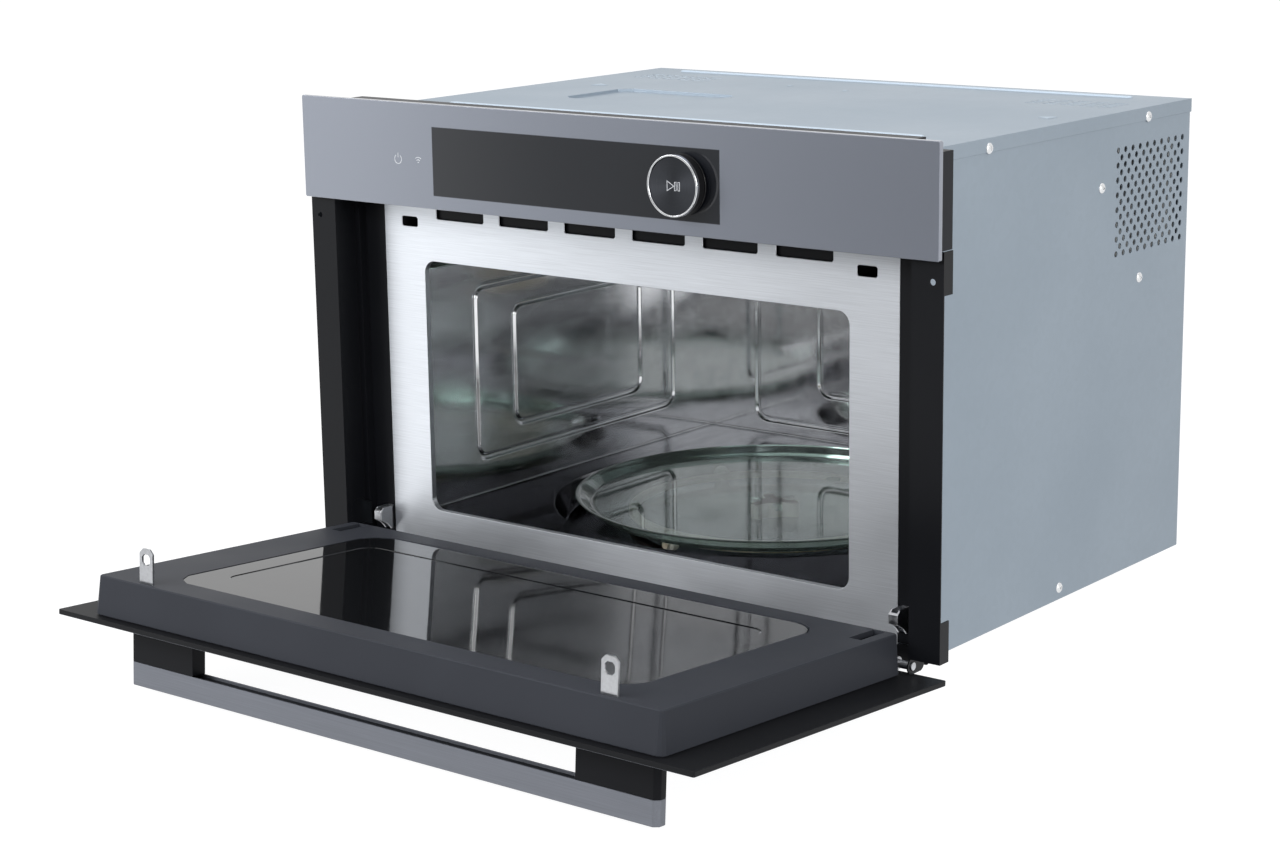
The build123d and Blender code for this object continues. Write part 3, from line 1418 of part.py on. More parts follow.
with BuildPart() as handle_channel:
    with BuildSketch(front_plane(channel_y)) as channel_outer:
        with Locations((0, bar_mid)):
            Rectangle(handle_w, handle_t)
        chamfer(channel_outer.vertices().group_by(Axis.Z)[0], corner_cut)
    extrude(amount=channel_h)
    chamfer(edges().group_by(Axis.Y)[0], channel_edge)
    with BuildSketch(front_plane(channel_y)) as channel_inner:
        with Locations((0, bar_mid)):
            Rectangle(handle_w - 2 * channel_t, handle_t - 2 * channel_t)
        chamfer(channel_inner.vertices().group_by(Axis.Z)[0], corner_cut - channel_t / 2)
    extrude(amount=channel_h - channel_t, mode=Mode.SUBTRACT)

save_open(handle_channel.part, "handle_channel")

# Control panel glass with the hole for the knob's shaft
with BuildPart() as panel_glass:
    with BuildSketch(front_plane(front_y + glass_t)) as panel_outline:
        with Locations((0, panel_z + panel_h / 2)):
            clipped(front_w, panel_h, glass_corner)
        with Locations((knob_x, knob_z)):
            RegularPolygon(shaft_r + 3 * free_gap, turned_sides, mode=Mode.SUBTRACT)
    extrude(amount=glass_t)
    chamfer(faces().sort_by(Axis.Y)[0].outer_wire().edges(), glass_edge)

panel_glass.part.label = "panel_glass"
export_step(panel_glass.part, "parts/panel_glass.step")

# Panel carrier: the shell behind the glass, with side wings, board pillars and a lug on top
carrier_wall = 2.5
carrier_foot = panel_z + 3.5
carrier_top = panel_top - 2.5
carrier_w = 2 * (web_x - trim_step - 1.5)
wing_w = 2 * (front_w / 2 - 0.6)
wing_low = trim_foot + trim_h + 0.5
wing_high = panel_top - 7.5
wing_y = front_y + seat_depth
carrier_front = front_y + glass_t
display_x = -52.0
display_z = panel_z + panel_h / 2 - 4.0
display_w = 196.0
display_h = panel_h - 31.0
board_x = -20.0
board_z = panel_z + panel_h / 2
board_w = 300.0
board_h = panel_h - 23.0
board_y = carrier_front + 12.0
pillar_r = 3.0
bush_r = 5.5

with BuildPart() as panel_carrier:
    with BuildSketch(front_plane(face_y)) as carrier_outline:
        with Locations((0, carrier_foot)):
            Rectangle(carrier_w, carrier_top - carrier_foot, align=(Align.CENTER, Align.MIN))
    extrude(amount=face_y - carrier_front)
    with BuildSketch(front_plane(wing_y)) as wings:
        with Locations((0, wing_low)):
            Rectangle(wing_w, wing_high - wing_low, align=(Align.CENTER, Align.MIN))
        with Locations((-wing_w / 2 + 22, wing_high)):
            Rectangle(38, carrier_top - wing_high, align=(Align.CENTER, Align.MIN))
    extrude(amount=wing_y - carrier_front)
    with BuildSketch(front_plane(face_y)) as carrier_inside:
        with Locations((0, carrier_foot + carrier_wall)):
            Rectangle(carrier_w - 2 * carrier_wall, carrier_top - carrier_foot - 2 * carrier_wall,
                      align=(Align.CENTER, Align.MIN))
    extrude(amount=face_y - carrier_front - carrier_wall, mode=Mode.SUBTRACT)
    with BuildSketch(front_plane(carrier_front + carrier_wall)) as carrier_windows:
        with Locations((display_x, display_z)):
            Rectangle(display_w + 2 * free_gap, display_h + 2 * free_gap)
        with Locations((knob_x, knob_z)):
            RegularPolygon(bush_r + 2 * free_gap, turned_sides)
    extrude(amount=carrier_wall, mode=Mode.SUBTRACT)
    with BuildSketch(front_plane(board_y)) as pillars:
        with Locations((board_x, board_z)):
            with GridLocations(board_w - 2 * pillar_r - 2, board_h - 2 * pillar_r - 2, 2, 2):
                RegularPolygon(pillar_r, screw_sides)
    extrude(amount=board_y - carrier_front - carrier_wall)

panel_carrier.part.label = "panel_carrier"
export_step(panel_carrier.part, "parts/panel_carrier.step")

# Display module behind the glass
with BuildPart() as display_module:
    with BuildSketch(front_plane(board_y)) as display_outline:
        with Locations((display_x, display_z)):
            Rectangle(display_w, display_h)
    extrude(amount=board_y - carrier_front)
    with BuildSketch(front_plane(carrier_front + 1.5)) as display_recess:
        with Locations((display_x, display_z)):
            Rectangle(display_w - 8, display_h - 8)
    extrude(amount=1.5, mode=Mode.SUBTRACT)

display_module.part.label = "display_module"
export_step(display_module.part, "parts/display_module.step")

# Control board with its relays and connectors
relay = (16.0, 20.0)
relay_pitch = 25.0
relay_h = 13.0
supply = (28.0, 24.0)
plug = (24.0, 8.0)
plug_pitch = 34.0
plug_h = 8.0

with BuildPart() as control_board:
    with BuildSketch(inward_plane(board_y)) as board_outline:
        with Locations((-board_x, board_z)):
            Rectangle(board_w, board_h)
    extrude(amount=board_t)
    with BuildSketch(inward_plane(board_y + board_t)) as relays:
        with Locations((-board_x - board_w / 3, board_z + 8)):
            with GridLocations(relay_pitch, 0, 2, 1):
                Rectangle(*relay)
        with Locations((-board_x + board_w / 3, board_z - 6)):
            Rectangle(*supply)
    extrude(amount=relay_h)
    with BuildSketch(inward_plane(board_y + board_t)) as connectors:
        with Locations((-board_x - 20, board_z - board_h / 2 + plug[1])):
            with GridLocations(plug_pitch, 0, 4, 1):
                Rectangle(*plug)
    extrude(amount=plug_h)

control_board.part.label = "control_board"
export_step(control_board.part, "parts/control_board.step")

# Rotary encoder on the board, and the rotor that turns in its bush
encoder_w = 14.0
encoder_d = 7.0
rotor_r = shaft_r + run_fit + 1.2
encoder_floor = 1.0

with BuildPart() as encoder_body:
    with BuildSketch(front_plane(board_y)) as encoder_case:
        with Locations((knob_x, knob_z)):
            Rectangle(encoder_w, encoder_w)
    extrude(amount=encoder_d)
    with BuildSketch(front_plane(board_y - encoder_d)) as bush:
        with Locations((knob_x, knob_z)):
            RegularPolygon(bush_r, turned_sides)
    extrude(amount=board_y - encoder_d - carrier_front - free_gap)
    with BuildSketch(front_plane(board_y - encoder_floor)) as encoder_bore:
        with Locations((knob_x, knob_z)):
            Circle(rotor_r + run_fit)
    extrude(amount=board_y - encoder_floor - carrier_front, mode=Mode.SUBTRACT)

encoder_body.part.label = "encoder_body"
export_step(encoder_body.part, "parts/encoder_body.step")

rotor_rear = board_y - encoder_floor - free_gap

with BuildPart() as encoder_rotor:
    with BuildSketch(front_plane(rotor_rear)) as rotor:
        with Locations((knob_x, knob_z)):
            Circle(rotor_r)
            RegularPolygon(shaft_r + run_fit, shaft_sides, mode=Mode.SUBTRACT)
    extrude(amount=rotor_rear - carrier_front - free_gap)

encoder_rotor.part.label = "encoder_rotor"
export_step(encoder_rotor.part, "parts/encoder_rotor.step")

# Knob: grooved body, bright ring, spun disc and the shaft that slides in the rotor
knob_front = front_y - knob_reach
knob_back = front_y - knob_press - 0.4
knob_seat = knob_front + 3.0
knob_bore = knob_seat + 3.0
groove_y = knob_front + 9.6
groove_w = 1.0
groove_depth = 1.4
knob_r = knob_d / 2
knob_sides = 32

with BuildPart() as knob_body:
    levels = (
        (knob_back, groove_y + groove_w / 2, knob_r),
        (groove_y + groove_w / 2, groove_y - groove_w / 2, knob_r - groove_depth),
        (groove_y - groove_w / 2, knob_seat, knob_r),
    )
    for rear, front, radius in levels:
        with BuildSketch(front_plane(rear)) as knob_slice:
            with Locations((knob_x, knob_z)):
                RegularPolygon(radius, knob_sides)
        extrude(amount=rear - front)
    with BuildSketch(front_plane(knob_back)) as shaft_seat:
        with Locations((knob_x, knob_z)):
            RegularPolygon(shaft_r, shaft_sides)
    extrude(amount=knob_back - knob_bore, mode=Mode.SUBTRACT)

knob_body.part.label = "knob_body"
export_step(knob_body.part, "parts/knob_body.step")

with BuildPart() as knob_ring:
    with BuildSketch(front_plane(knob_seat)) as ring_outline:
        with Locations((knob_x, knob_z)):
            RegularPolygon(knob_r, knob_sides)
            RegularPolygon(knob_r - knob_rim, knob_sides, mode=Mode.SUBTRACT)
    extrude(amount=knob_seat - knob_front)

knob_ring.part.label = "knob_ring"
export_step(knob_ring.part, "parts/knob_ring.step")

with BuildPart() as knob_disc:
    with BuildSketch(front_plane(knob_seat)) as disc_outline:
        with Locations((knob_x, knob_z)):
            RegularPolygon(knob_r - knob_rim, knob_sides)
    extrude(amount=knob_seat - knob_front - knob_dish)

knob_disc.part.label = "knob_disc"
export_step(knob_disc.part, "parts/knob_disc.step")

shaft_end = rotor_rear - knob_press - free_gap

with BuildPart() as encoder_shaft:
    with BuildSketch(front_plane(shaft_end)) as shaft_outline:
        with Locations((knob_x, knob_z)):
            RegularPolygon(shaft_r, shaft_sides)
    extrude(amount=shaft_end - knob_bore)

encoder_shaft.part.label = "encoder_shaft"
export_step(encoder_shaft.part, "parts/encoder_shaft.step")

# Glass tray with a raised rim, three driving lugs and three feet underneath
tray_flat = glass_r - 19.5
tray_wall_in = 3.5  # thickness of the sloping rim, across
tray_sides = 48
lug_ring = 17.0
lug_size = (11.0, 6.0)
lug_h = 4.0
foot_ring = tray_flat - 55.0
foot_r = 6.0
foot_h = 1.2
tray_top = tray_z + tray_t
rim_top = tray_top + tray_rise
rim_start = tray_flat + 3.0
rim_taper = degrees(atan((glass_r - rim_start) / (rim_top - tray_z)))

with BuildPart() as glass_turntable:
    with BuildSketch(Plane.XY.offset(tray_z)) as tray_outside:
        with Locations((0, cavity_mid_y)):
            RegularPolygon(rim_start, tray_sides)
    extrude(amount=rim_top - tray_z, taper=-rim_taper)
    with BuildSketch(Plane.XY.offset(rim_top)) as tray_inside:
        with Locations((0, cavity_mid_y)):
            RegularPolygon(glass_r - tray_wall_in, tray_sides)
    extrude(amount=-tray_rise, taper=rim_taper, mode=Mode.SUBTRACT)
    with BuildSketch(Plane.XY.offset(tray_z)) as lugs:
        with Locations((0, cavity_mid_y)):
            with PolarLocations(lug_ring, 3, start_angle=77):
                Rectangle(*lug_size)
    extrude(amount=-lug_h)
    with BuildSketch(Plane.XY.offset(tray_z)) as tray_feet:
        with Locations((0, cavity_mid_y)):
            with PolarLocations(foot_ring, 3, start_angle=90):
                RegularPolygon(foot_r, small_sides)
    extrude(amount=-foot_h)

glass_turntable.part.label = "glass_turntable"
export_step(glass_turntable.part, "parts/glass_turntable.step")

# Coupler: three lobes between the tray's lugs and the stem that turns in the motor
coupler_foot = recess_z + free_gap
coupler_r = 11.0
lobe_ring = 13.0
lobe_size = (18.0, 10.0)
stem_low = recess_z - liner_t - motor_h + stem_floor + 1.0

with BuildPart() as turntable_coupler:
    with BuildSketch(Plane.XY.offset(coupler_foot)) as coupler_hub:
        with Locations((0, cavity_mid_y)):
            RegularPolygon(coupler_r, turned_sides)
            with PolarLocations(lobe_ring, 3, start_angle=137):
                clipped(*lobe_size, lobe_size[1] / 4)
    extrude(amount=tray_z - coupler_foot)
    with BuildSketch(Plane.XY.offset(stem_low)) as stem:
        with Locations((0, cavity_mid_y)):
            Circle(stem_r)
    extrude(amount=coupler_foot - stem_low)

turntable_coupler.part.label = "turntable_coupler"
export_step(turntable_coupler.part, "parts/turntable_coupler.step")

# Roller ring with three axles
axle_z = recess_z + free_gap + roller_r
ring_in_r = roller_track_r - 15.0
ring_out_r = roller_track_r - 8.0
ring_t = 5.0
ring_sides = 36
axle_root = 3.0  # how deep an axle is set in the ring
axle_end = roller_track_r + roller_w / 2 + 2
head_t = 1.2
roller_angles = (26, 146, 266)
roller_sides = 16


def radial_plane(turn, reach):
    """Plane facing outward at the given angle and distance from the turntable's axis."""
    out = (cos(radians(turn)), sin(radians(turn)), 0)
    return Plane(origin=(reach * out[0], cavity_mid_y + reach * out[1], axle_z),
                 x_dir=(0, 0, 1), z_dir=out)


with BuildPart() as roller_ring:
    with BuildSketch(Plane.XY.offset(axle_z - ring_t / 2)) as ring_band:
        with Locations((0, cavity_mid_y)):
            RegularPolygon(ring_out_r, ring_sides)
            RegularPolygon(ring_in_r, ring_sides, mode=Mode.SUBTRACT)
    extrude(amount=ring_t)
    for turn in roller_angles:
        with BuildSketch(radial_plane(turn, ring_out_r - axle_root)) as axle:
            Circle(axle_r)
        extrude(amount=axle_end - ring_out_r + axle_root)
        with BuildSketch(radial_plane(turn, axle_end)) as axle_head:
            RegularPolygon(axle_r + 1, screw_sides)
        extrude(amount=head_t)

roller_ring.part.label = "roller_ring"
export_step(roller_ring.part, "parts/roller_ring.step")

for number, turn in enumerate(roller_angles, start=1):
    with BuildPart() as roller:
        with BuildSketch(radial_plane(turn, roller_track_r - roller_w / 2)) as wheel:
            RegularPolygon(roller_r, roller_sides)
            Circle(axle_r + run_fit, mode=Mode.SUBTRACT)
        extrude(amount=roller_w)
    roller.part.label = f"roller_{number}"
    export_step(roller.part, f"parts/roller_{number}.step")

# Door interlock: housings behind the face plate, their switches and the sprung levers
housing_x = latch_x + 9.7
housing_t = 3.0
housing_d = 56.0
lever_x = latch_x - 3.3
lever_t = 7.0
lever_y = liner_y + 44.0
lever_z = latch_slot_z + 13.8
housing_low = lever_z - 39.0
housing_high = lever_z + 11.0
lever_pin_r = 2.5
lever_hub_r = 5.6
switch_w = 10.0
switch_d = 28.0
switch_h = 16.0

with BuildPart() as interlock_housings:
    with BuildSketch(side_plane(housing_x)) as housing_plate:
        with Locations((liner_y, housing_low)):
            Rectangle(housing_d, housing_high - housing_low, align=(Align.MIN, Align.MIN))
    extrude(amount=housing_t)
    with BuildSketch(inward_plane(liner_y)) as housing_foot:
        with Locations((-housing_x, housing_low)):
            Rectangle(9.4, housing_high - housing_low, align=(Align.MAX, Align.MIN))
    extrude(amount=2)
    with BuildSketch(side_plane(lever_x - 1)) as lever_pin:
        with Locations((lever_y, lever_z)):
            Circle(lever_pin_r)
    extrude(amount=housing_x - lever_x + 1)
    mirror(about=Plane.YZ)

interlock_housings.part.label = "interlock_housings"
export_step(interlock_housings.part, "parts/interlock_housings.step")

with BuildPart() as interlock_switches:
    with BuildSketch(side_plane(housing_x + housing_t)) as switches:
        with Locations((liner_y + 24, housing_low + 12), (liner_y + 24, housing_low + 34)):
            Rectangle(switch_d, switch_h)
    extrude(amount=switch_w)
    mirror(about=Plane.YZ)

interlock_switches.part.label = "interlock_switches"
export_step(interlock_switches.part, "parts/interlock_switches.step")


def lever_shape():
    """Right interlock lever with its nose above the path of the latch tongue."""
    with BuildPart() as bar:
        with BuildSketch(side_plane(lever_x)) as lever_outline:
            with Locations((lever_y, lever_z)):
                RegularPolygon(lever_hub_r, small_sides)
            with BuildLine():
                Polyline(
                    (lever_y, lever_z + 4),
                    (liner_y + 10, lever_z - 2),
                    (liner_y + 10, lever_z - 9),
                    (liner_y + 18, lever_z - 9),
                    (liner_y + 20, lever_z - 6),
                    (lever_y, lever_z - 5),
                    close=True,
                )
            make_face()
            with Locations((lever_y, lever_z)):
                Circle(lever_pin_r + run_fit, mode=Mode.SUBTRACT)
        extrude(amount=lever_t)
    return bar.part


with BuildPart() as interlock_lever_right:
    add(lever_shape())

interlock_lever_right.part.label = "interlock_lever_right"
export_step(interlock_lever_right.part, "parts/interlock_lever_right.step")

with BuildPart() as interlock_lever_left:
    add(mirror(lever_shape(), about=Plane.YZ))

interlock_lever_left.part.label = "interlock_lever_left"
export_step(interlock_lever_left.part, "parts/interlock_lever_left.step")
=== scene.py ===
# %% [markdown]
# Built-in microwave oven, dressed in Blender.
# The oven comes in as a frame of finished solids, one object for each sheet, glass and moulding.
# This lesson gives every solid the finish of the real thing, turns the round pieces with more care
# than the solids have, and lights the oven as in a plain studio.
# Everything is in metres. X runs across the front, Y from the front to the rear, Z up.

# %% Load the frame
import json
import math

import bmesh
import bpy
from mathutils import Matrix, Vector

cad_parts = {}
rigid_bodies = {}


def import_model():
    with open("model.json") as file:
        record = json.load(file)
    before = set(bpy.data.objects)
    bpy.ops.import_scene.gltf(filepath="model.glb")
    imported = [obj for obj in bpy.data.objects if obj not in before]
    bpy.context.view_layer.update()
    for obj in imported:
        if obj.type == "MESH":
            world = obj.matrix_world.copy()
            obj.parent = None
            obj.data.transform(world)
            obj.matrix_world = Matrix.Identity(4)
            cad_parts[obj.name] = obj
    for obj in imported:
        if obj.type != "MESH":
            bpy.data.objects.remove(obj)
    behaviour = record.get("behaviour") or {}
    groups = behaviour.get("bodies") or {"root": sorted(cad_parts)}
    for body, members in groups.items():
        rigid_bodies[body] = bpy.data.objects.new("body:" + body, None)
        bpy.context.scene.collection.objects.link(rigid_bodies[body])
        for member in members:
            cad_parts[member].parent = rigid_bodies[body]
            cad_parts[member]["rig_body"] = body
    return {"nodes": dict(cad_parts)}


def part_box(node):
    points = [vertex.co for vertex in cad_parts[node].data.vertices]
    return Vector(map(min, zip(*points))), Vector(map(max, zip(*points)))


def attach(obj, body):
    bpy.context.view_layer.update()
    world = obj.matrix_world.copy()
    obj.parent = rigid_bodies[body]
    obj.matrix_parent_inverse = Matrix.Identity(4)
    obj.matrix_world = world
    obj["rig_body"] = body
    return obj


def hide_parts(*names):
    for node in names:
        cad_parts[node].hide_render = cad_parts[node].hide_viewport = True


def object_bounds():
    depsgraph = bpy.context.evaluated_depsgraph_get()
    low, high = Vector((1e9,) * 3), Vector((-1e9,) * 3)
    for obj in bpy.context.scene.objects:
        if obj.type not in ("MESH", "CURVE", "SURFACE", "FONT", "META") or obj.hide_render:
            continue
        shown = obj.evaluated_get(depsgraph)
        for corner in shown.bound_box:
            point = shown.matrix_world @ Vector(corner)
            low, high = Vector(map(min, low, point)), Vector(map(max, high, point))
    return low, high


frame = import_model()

bpy.context.view_layer.update()
solid_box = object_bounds()
oven = frame["nodes"]


def rounded_box(corners):
    return [tuple(round(v, 4) for v in corner) for corner in corners]


print("pieces in the frame:", len(oven), "box:", rounded_box(solid_box))

# %% [markdown]
# A finish is a node tree that ends in one Principled shader.
# The plain numbers of a finish, such as how metallic it is, are set on the shader itself.
# What varies over the surface, such as grain or smudges, comes from noise that is read in Object
# coordinates, so it stays on the piece when the piece moves.
# A noise is stretched by its scale on each axis: brushed steel is noise that is long in one
# direction and very short in the other.

# %% Start a finish and make noise for it
def start_finish(name, colour, metallic=0.0, roughness=0.5):
    finish = bpy.data.materials.new(name)
    finish.use_nodes = True
    tree = finish.node_tree
    shader = tree.nodes["Principled BSDF"]
    shader.inputs["Base Color"].default_value = (*colour, 1)
    shader.inputs["Metallic"].default_value = metallic
    shader.inputs["Roughness"].default_value = roughness
    return finish, tree, shader


def place_on(tree, scale=(1, 1, 1), centre=(0, 0, 0)):
    where = tree.nodes.new("ShaderNodeTexCoord")
    mapping = tree.nodes.new("ShaderNodeMapping")
    mapping.inputs["Scale"].default_value = scale
    mapping.inputs["Location"].default_value = [-c * s for c, s in zip(centre, scale)]
    tree.links.new(where.outputs["Object"], mapping.inputs["Vector"])
    return mapping.outputs["Vector"]


def noise_on(tree, scale, detail=3.0, rough=0.5):
    noise = tree.nodes.new("ShaderNodeTexNoise")
    noise.inputs["Scale"].default_value = 1.0
    noise.inputs["Detail"].default_value = detail
    noise.inputs["Roughness"].default_value = rough
    tree.links.new(place_on(tree, scale), noise.inputs["Vector"])
    return noise.outputs["Fac"]


# %% Turn a noise into a range, a colour or a relief
def one_axis(tree, vector, axis):
    split = tree.nodes.new("ShaderNodeSeparateXYZ")
    tree.links.new(vector, split.inputs["Vector"])
    return split.outputs[axis]


def combine(tree, operation, first, second):
    both = tree.nodes.new("ShaderNodeMath")
    both.operation = operation
    tree.links.new(first, both.inputs[0])
    tree.links.new(second, both.inputs[1])
    return both.outputs["Value"]


def spread(tree, value, low, high, start=0.3, end=0.7):
    remap = tree.nodes.new("ShaderNodeMapRange")
    remap.inputs["From Min"].default_value = start
    remap.inputs["From Max"].default_value = end
    remap.inputs["To Min"].default_value = low
    remap.inputs["To Max"].default_value = high
    tree.links.new(value, remap.inputs["Value"])
    return remap.outputs["Result"]


def blend_colours(tree, factor, first, second):
    mix = tree.nodes.new("ShaderNodeMix")
    mix.data_type = "RGBA"
    tree.links.new(factor, mix.inputs["Factor"])
    for socket, colour in ((mix.inputs["A"], first), (mix.inputs["B"], second)):
        if isinstance(colour, (tuple, list)):
            socket.default_value = (*colour, 1)
        else:
            tree.links.new(colour, socket)
    return mix.outputs["Result"]


def raise_relief(tree, shader, height, depth, strength=0.3):
    bump = tree.nodes.new("ShaderNodeBump")
    bump.inputs["Strength"].default_value = strength
    bump.inputs["Distance"].default_value = depth
    tree.links.new(height, bump.inputs["Height"])
    tree.links.new(bump.outputs["Normal"], shader.inputs["Normal"])


def shade(colour, factor):
    return tuple(min(c * factor, 1.0) for c in colour)


# %% [markdown]
# Sheet steel with a zinc coat, for the casing.
# Zinc sets in flat crystals a few millimetres wide, which differ very slightly in tone.
# A Voronoi pattern gives each crystal its tone, and a broad noise gives the soft clouding that
# handling leaves on a bare sheet. Above a given height the colour is painted brighter: a painted
# highlight on the crowns of the beads of the top cover.

# %% Zinc-coated sheet
def zinc_sheet(name, colour, metallic, roughness, painted_highlight_z=None):
    finish, tree, shader = start_finish(name, colour, metallic, roughness)
    crystals = tree.nodes.new("ShaderNodeTexVoronoi")
    crystals.inputs["Scale"].default_value = 1.0
    tree.links.new(place_on(tree, (190, 190, 190)), crystals.inputs["Vector"])
    tone = spread(tree, crystals.outputs["Color"], 0.0, 1.0, 0.0, 1.0)
    clouds = noise_on(tree, (7, 7, 7), 3)
    fine = blend_colours(tree, tone, shade(colour, 0.975), shade(colour, 1.025))
    broad = blend_colours(tree, spread(tree, clouds, 0, 0.5), fine, shade(colour, 0.93))
    # Painted highlight: above this height the colour is painted 1.75 times brighter, on the bead
    # crowns.
    if painted_highlight_z:
        height = one_axis(tree, place_on(tree), "Z")
        mask = spread(tree, height, 0, 1, painted_highlight_z - 0.0003, painted_highlight_z + 0.0003)
        broad = blend_colours(tree, mask, broad, shade(colour, 1.75))
    tree.links.new(broad, shader.inputs["Base Color"])
    tree.links.new(spread(tree, clouds, roughness - 0.05, roughness + 0.06),
                   shader.inputs["Roughness"])
    raise_relief(tree, shader, noise_on(tree, (900, 900, 900), 2), 0.00005, 0.12)
    return finish


# The last number is the height of the bead crowns that get the painted highlight.
casing_zinc = zinc_sheet("casing_zinc", (0.35, 0.415, 0.48), 0.35, 0.46, 0.3657)
inner_zinc = zinc_sheet("inner_zinc", (0.42, 0.44, 0.46), 0.6, 0.42)
print("zinc finishes:", casing_zinc.name, inner_zinc.name)

# %% [markdown]
# Brushed stainless steel, for the face plate round the cavity.
# The plate is brushed along its length, so its grain is a noise stretched in X.
# The grain shifts the tone a little and gives a very low relief. Anisotropy on the shader then
# draws the highlights out across the grain, as brushed steel does.

# %% Brushed steel
def brushed_steel(name, colour, roughness, grain, depth=0.00004, metallic=1.0, drawn=0.7):
    finish, tree, shader = start_finish(name, colour, metallic, roughness)
    shader.inputs["Anisotropic"].default_value = drawn
    shader.inputs["Anisotropic Rotation"].default_value = 0.25
    along = tree.nodes.new("ShaderNodeCombineXYZ")
    for number, size in enumerate(grain):
        along.inputs[number].default_value = 1.0 if size == min(grain) else 0.0
    tree.links.new(along.outputs["Vector"], shader.inputs["Tangent"])
    lines = noise_on(tree, grain, 4, 0.65)
    clouds = noise_on(tree, (5, 9, 9), 3)
    fine = blend_colours(tree, spread(tree, lines, 0, 1), shade(colour, 0.9), shade(colour, 1.08))
    tree.links.new(fine, shader.inputs["Base Color"])
    tree.links.new(spread(tree, clouds, roughness - 0.04, roughness + 0.05),
                   shader.inputs["Roughness"])
    raise_relief(tree, shader, lines, depth, 0.25)
    return finish


face_brushed = brushed_steel("face_brushed", (0.645, 0.67, 0.71), 0.34, (18, 1200, 1200))
hinge_plated = brushed_steel("hinge_plated", (0.5, 0.51, 0.53), 0.3, (400, 90, 400))
print("brushed finishes:", face_brushed.name, hinge_plated.name)

# %% [markdown]
# The cavity is polished stainless sheet that has been pressed, so it reflects like a dull mirror
# with soft waves. Roughness stays low, and a broad low relief bends the reflections a little.
# The floor is a flatter sheet than the walls. Its colour is painted dark toward the door and
# bright toward the rear, a painted reflection, and its specular tint is lowered.

# %% Polished cavity steel
def polished_steel(name, colour, roughness, wave=0.0012, front=None):
    finish, tree, shader = start_finish(name, colour, 1.0, roughness)
    waves = noise_on(tree, (9, 9, 9), 2, 0.4)
    smears = noise_on(tree, (60, 14, 60), 4, 0.6)
    sheet = blend_colours(tree, spread(tree, smears, 0, 1), shade(colour, 0.93),
                          shade(colour, 1.05))
    # Painted reflection: the colour fades from the given dark colour at the door to the sheet's
    # colour at the rear.
    if front:
        painted_reflection_ramp = spread(tree, one_axis(tree, place_on(tree), "Y"), 0, 1, -0.05, 0.12)
        sheet = blend_colours(tree, painted_reflection_ramp, front, sheet)
        shader.inputs["Specular Tint"].default_value = (0.4, 0.4, 0.41, 1)
    tree.links.new(sheet, shader.inputs["Base Color"])
    tree.links.new(spread(tree, smears, roughness - 0.03, roughness + 0.06),
                   shader.inputs["Roughness"])
    raise_relief(tree, shader, waves, wave, 0.25)
    return finish


cavity_polished = polished_steel("cavity_polished", (0.76, 0.77, 0.785), 0.085)
# The last colour is the painted reflection, dark, at the front of the floor.
floor_polished = polished_steel("floor_polished", (0.80, 0.81, 0.83), 0.10, 0.0003,
                                (0.10, 0.102, 0.108))
print("polished finishes:", cavity_polished.name, floor_polished.name)

# %% [markdown]
# Dark painted steel and moulded plastic have a fine even grain.
# The grain is a small noise for relief, and a broader one for the faint differences in gloss that
# moulding and handling leave.

# %% Painted and moulded finishes
def moulded(name, colour, roughness, grain=1400, depth=0.00004, tone=0.06, gloss=0.5):
    finish, tree, shader = start_finish(name, colour, 0.0, roughness)
    shader.inputs["Specular IOR Level"].default_value = gloss
    speckle = noise_on(tree, (grain, grain, grain), 2)
    clouds = noise_on(tree, (11, 11, 11), 3)
    tree.links.new(blend_colours(tree, spread(tree, clouds, 0, 1), shade(colour, 1 - tone),
                                 shade(colour, 1 + tone)), shader.inputs["Base Color"])
    tree.links.new(spread(tree, clouds, roughness - 0.04, roughness + 0.04),
                   shader.inputs["Roughness"])
    raise_relief(tree, shader, speckle, depth, 0.3)
    return finish


trim_black = moulded("trim_black", (0.0065, 0.007, 0.0088), 0.34, gloss=0.16)
door_grey = moulded("door_grey", (0.040, 0.043, 0.052), 0.5, gloss=0.1)
post_black = moulded("post_black", (0.008, 0.0085, 0.0105), 0.42, gloss=0.1)
carrier_black = moulded("carrier_black", (0.012, 0.0125, 0.016), 0.42, gloss=0.15)
housing_white = moulded("housing_white", (0.7, 0.7, 0.68), 0.45)
fan_grey = moulded("fan_grey", (0.3, 0.31, 0.32), 0.45)
part_black = moulded("part_black", (0.02, 0.02, 0.021), 0.5)
winding_dark = moulded("winding_dark", (0.12, 0.115, 0.11), 0.45, 500, 0.0003)
mica_tan = moulded("mica_tan", (0.5, 0.45, 0.34), 0.38, 300, 0.0001, 0.14)
ring_cream = moulded("ring_cream", (0.46, 0.4, 0.31), 0.4)
roller_white = moulded("roller_white", (0.66, 0.64, 0.58), 0.38)
coupler_cream = moulded("coupler_cream", (0.5, 0.44, 0.35), 0.42)
board_green = moulded("board_green", (0.02, 0.12, 0.05), 0.3, 260, 0.0002, 0.2)
print("painted and moulded finishes:", trim_black.name, door_grey.name, "and others")

# %% [markdown]
# Bright metals with a turned or plated skin: chrome, spun aluminium, brass and zinc plate.

# %% Plated and spun metals
def plated(name, colour, roughness, grain=(300, 300, 300), relief=0.2):
    finish, tree, shader = start_finish(name, colour, 1.0, roughness)
    streaks = noise_on(tree, grain, 3)
    tree.links.new(blend_colours(tree, spread(tree, streaks, 0, 1), shade(colour, 0.92),
                                 shade(colour, 1.06)), shader.inputs["Base Color"])
    tree.links.new(spread(tree, streaks, roughness - 0.03, roughness + 0.05),
                   shader.inputs["Roughness"])
    raise_relief(tree, shader, streaks, 0.00003, relief)
    return finish


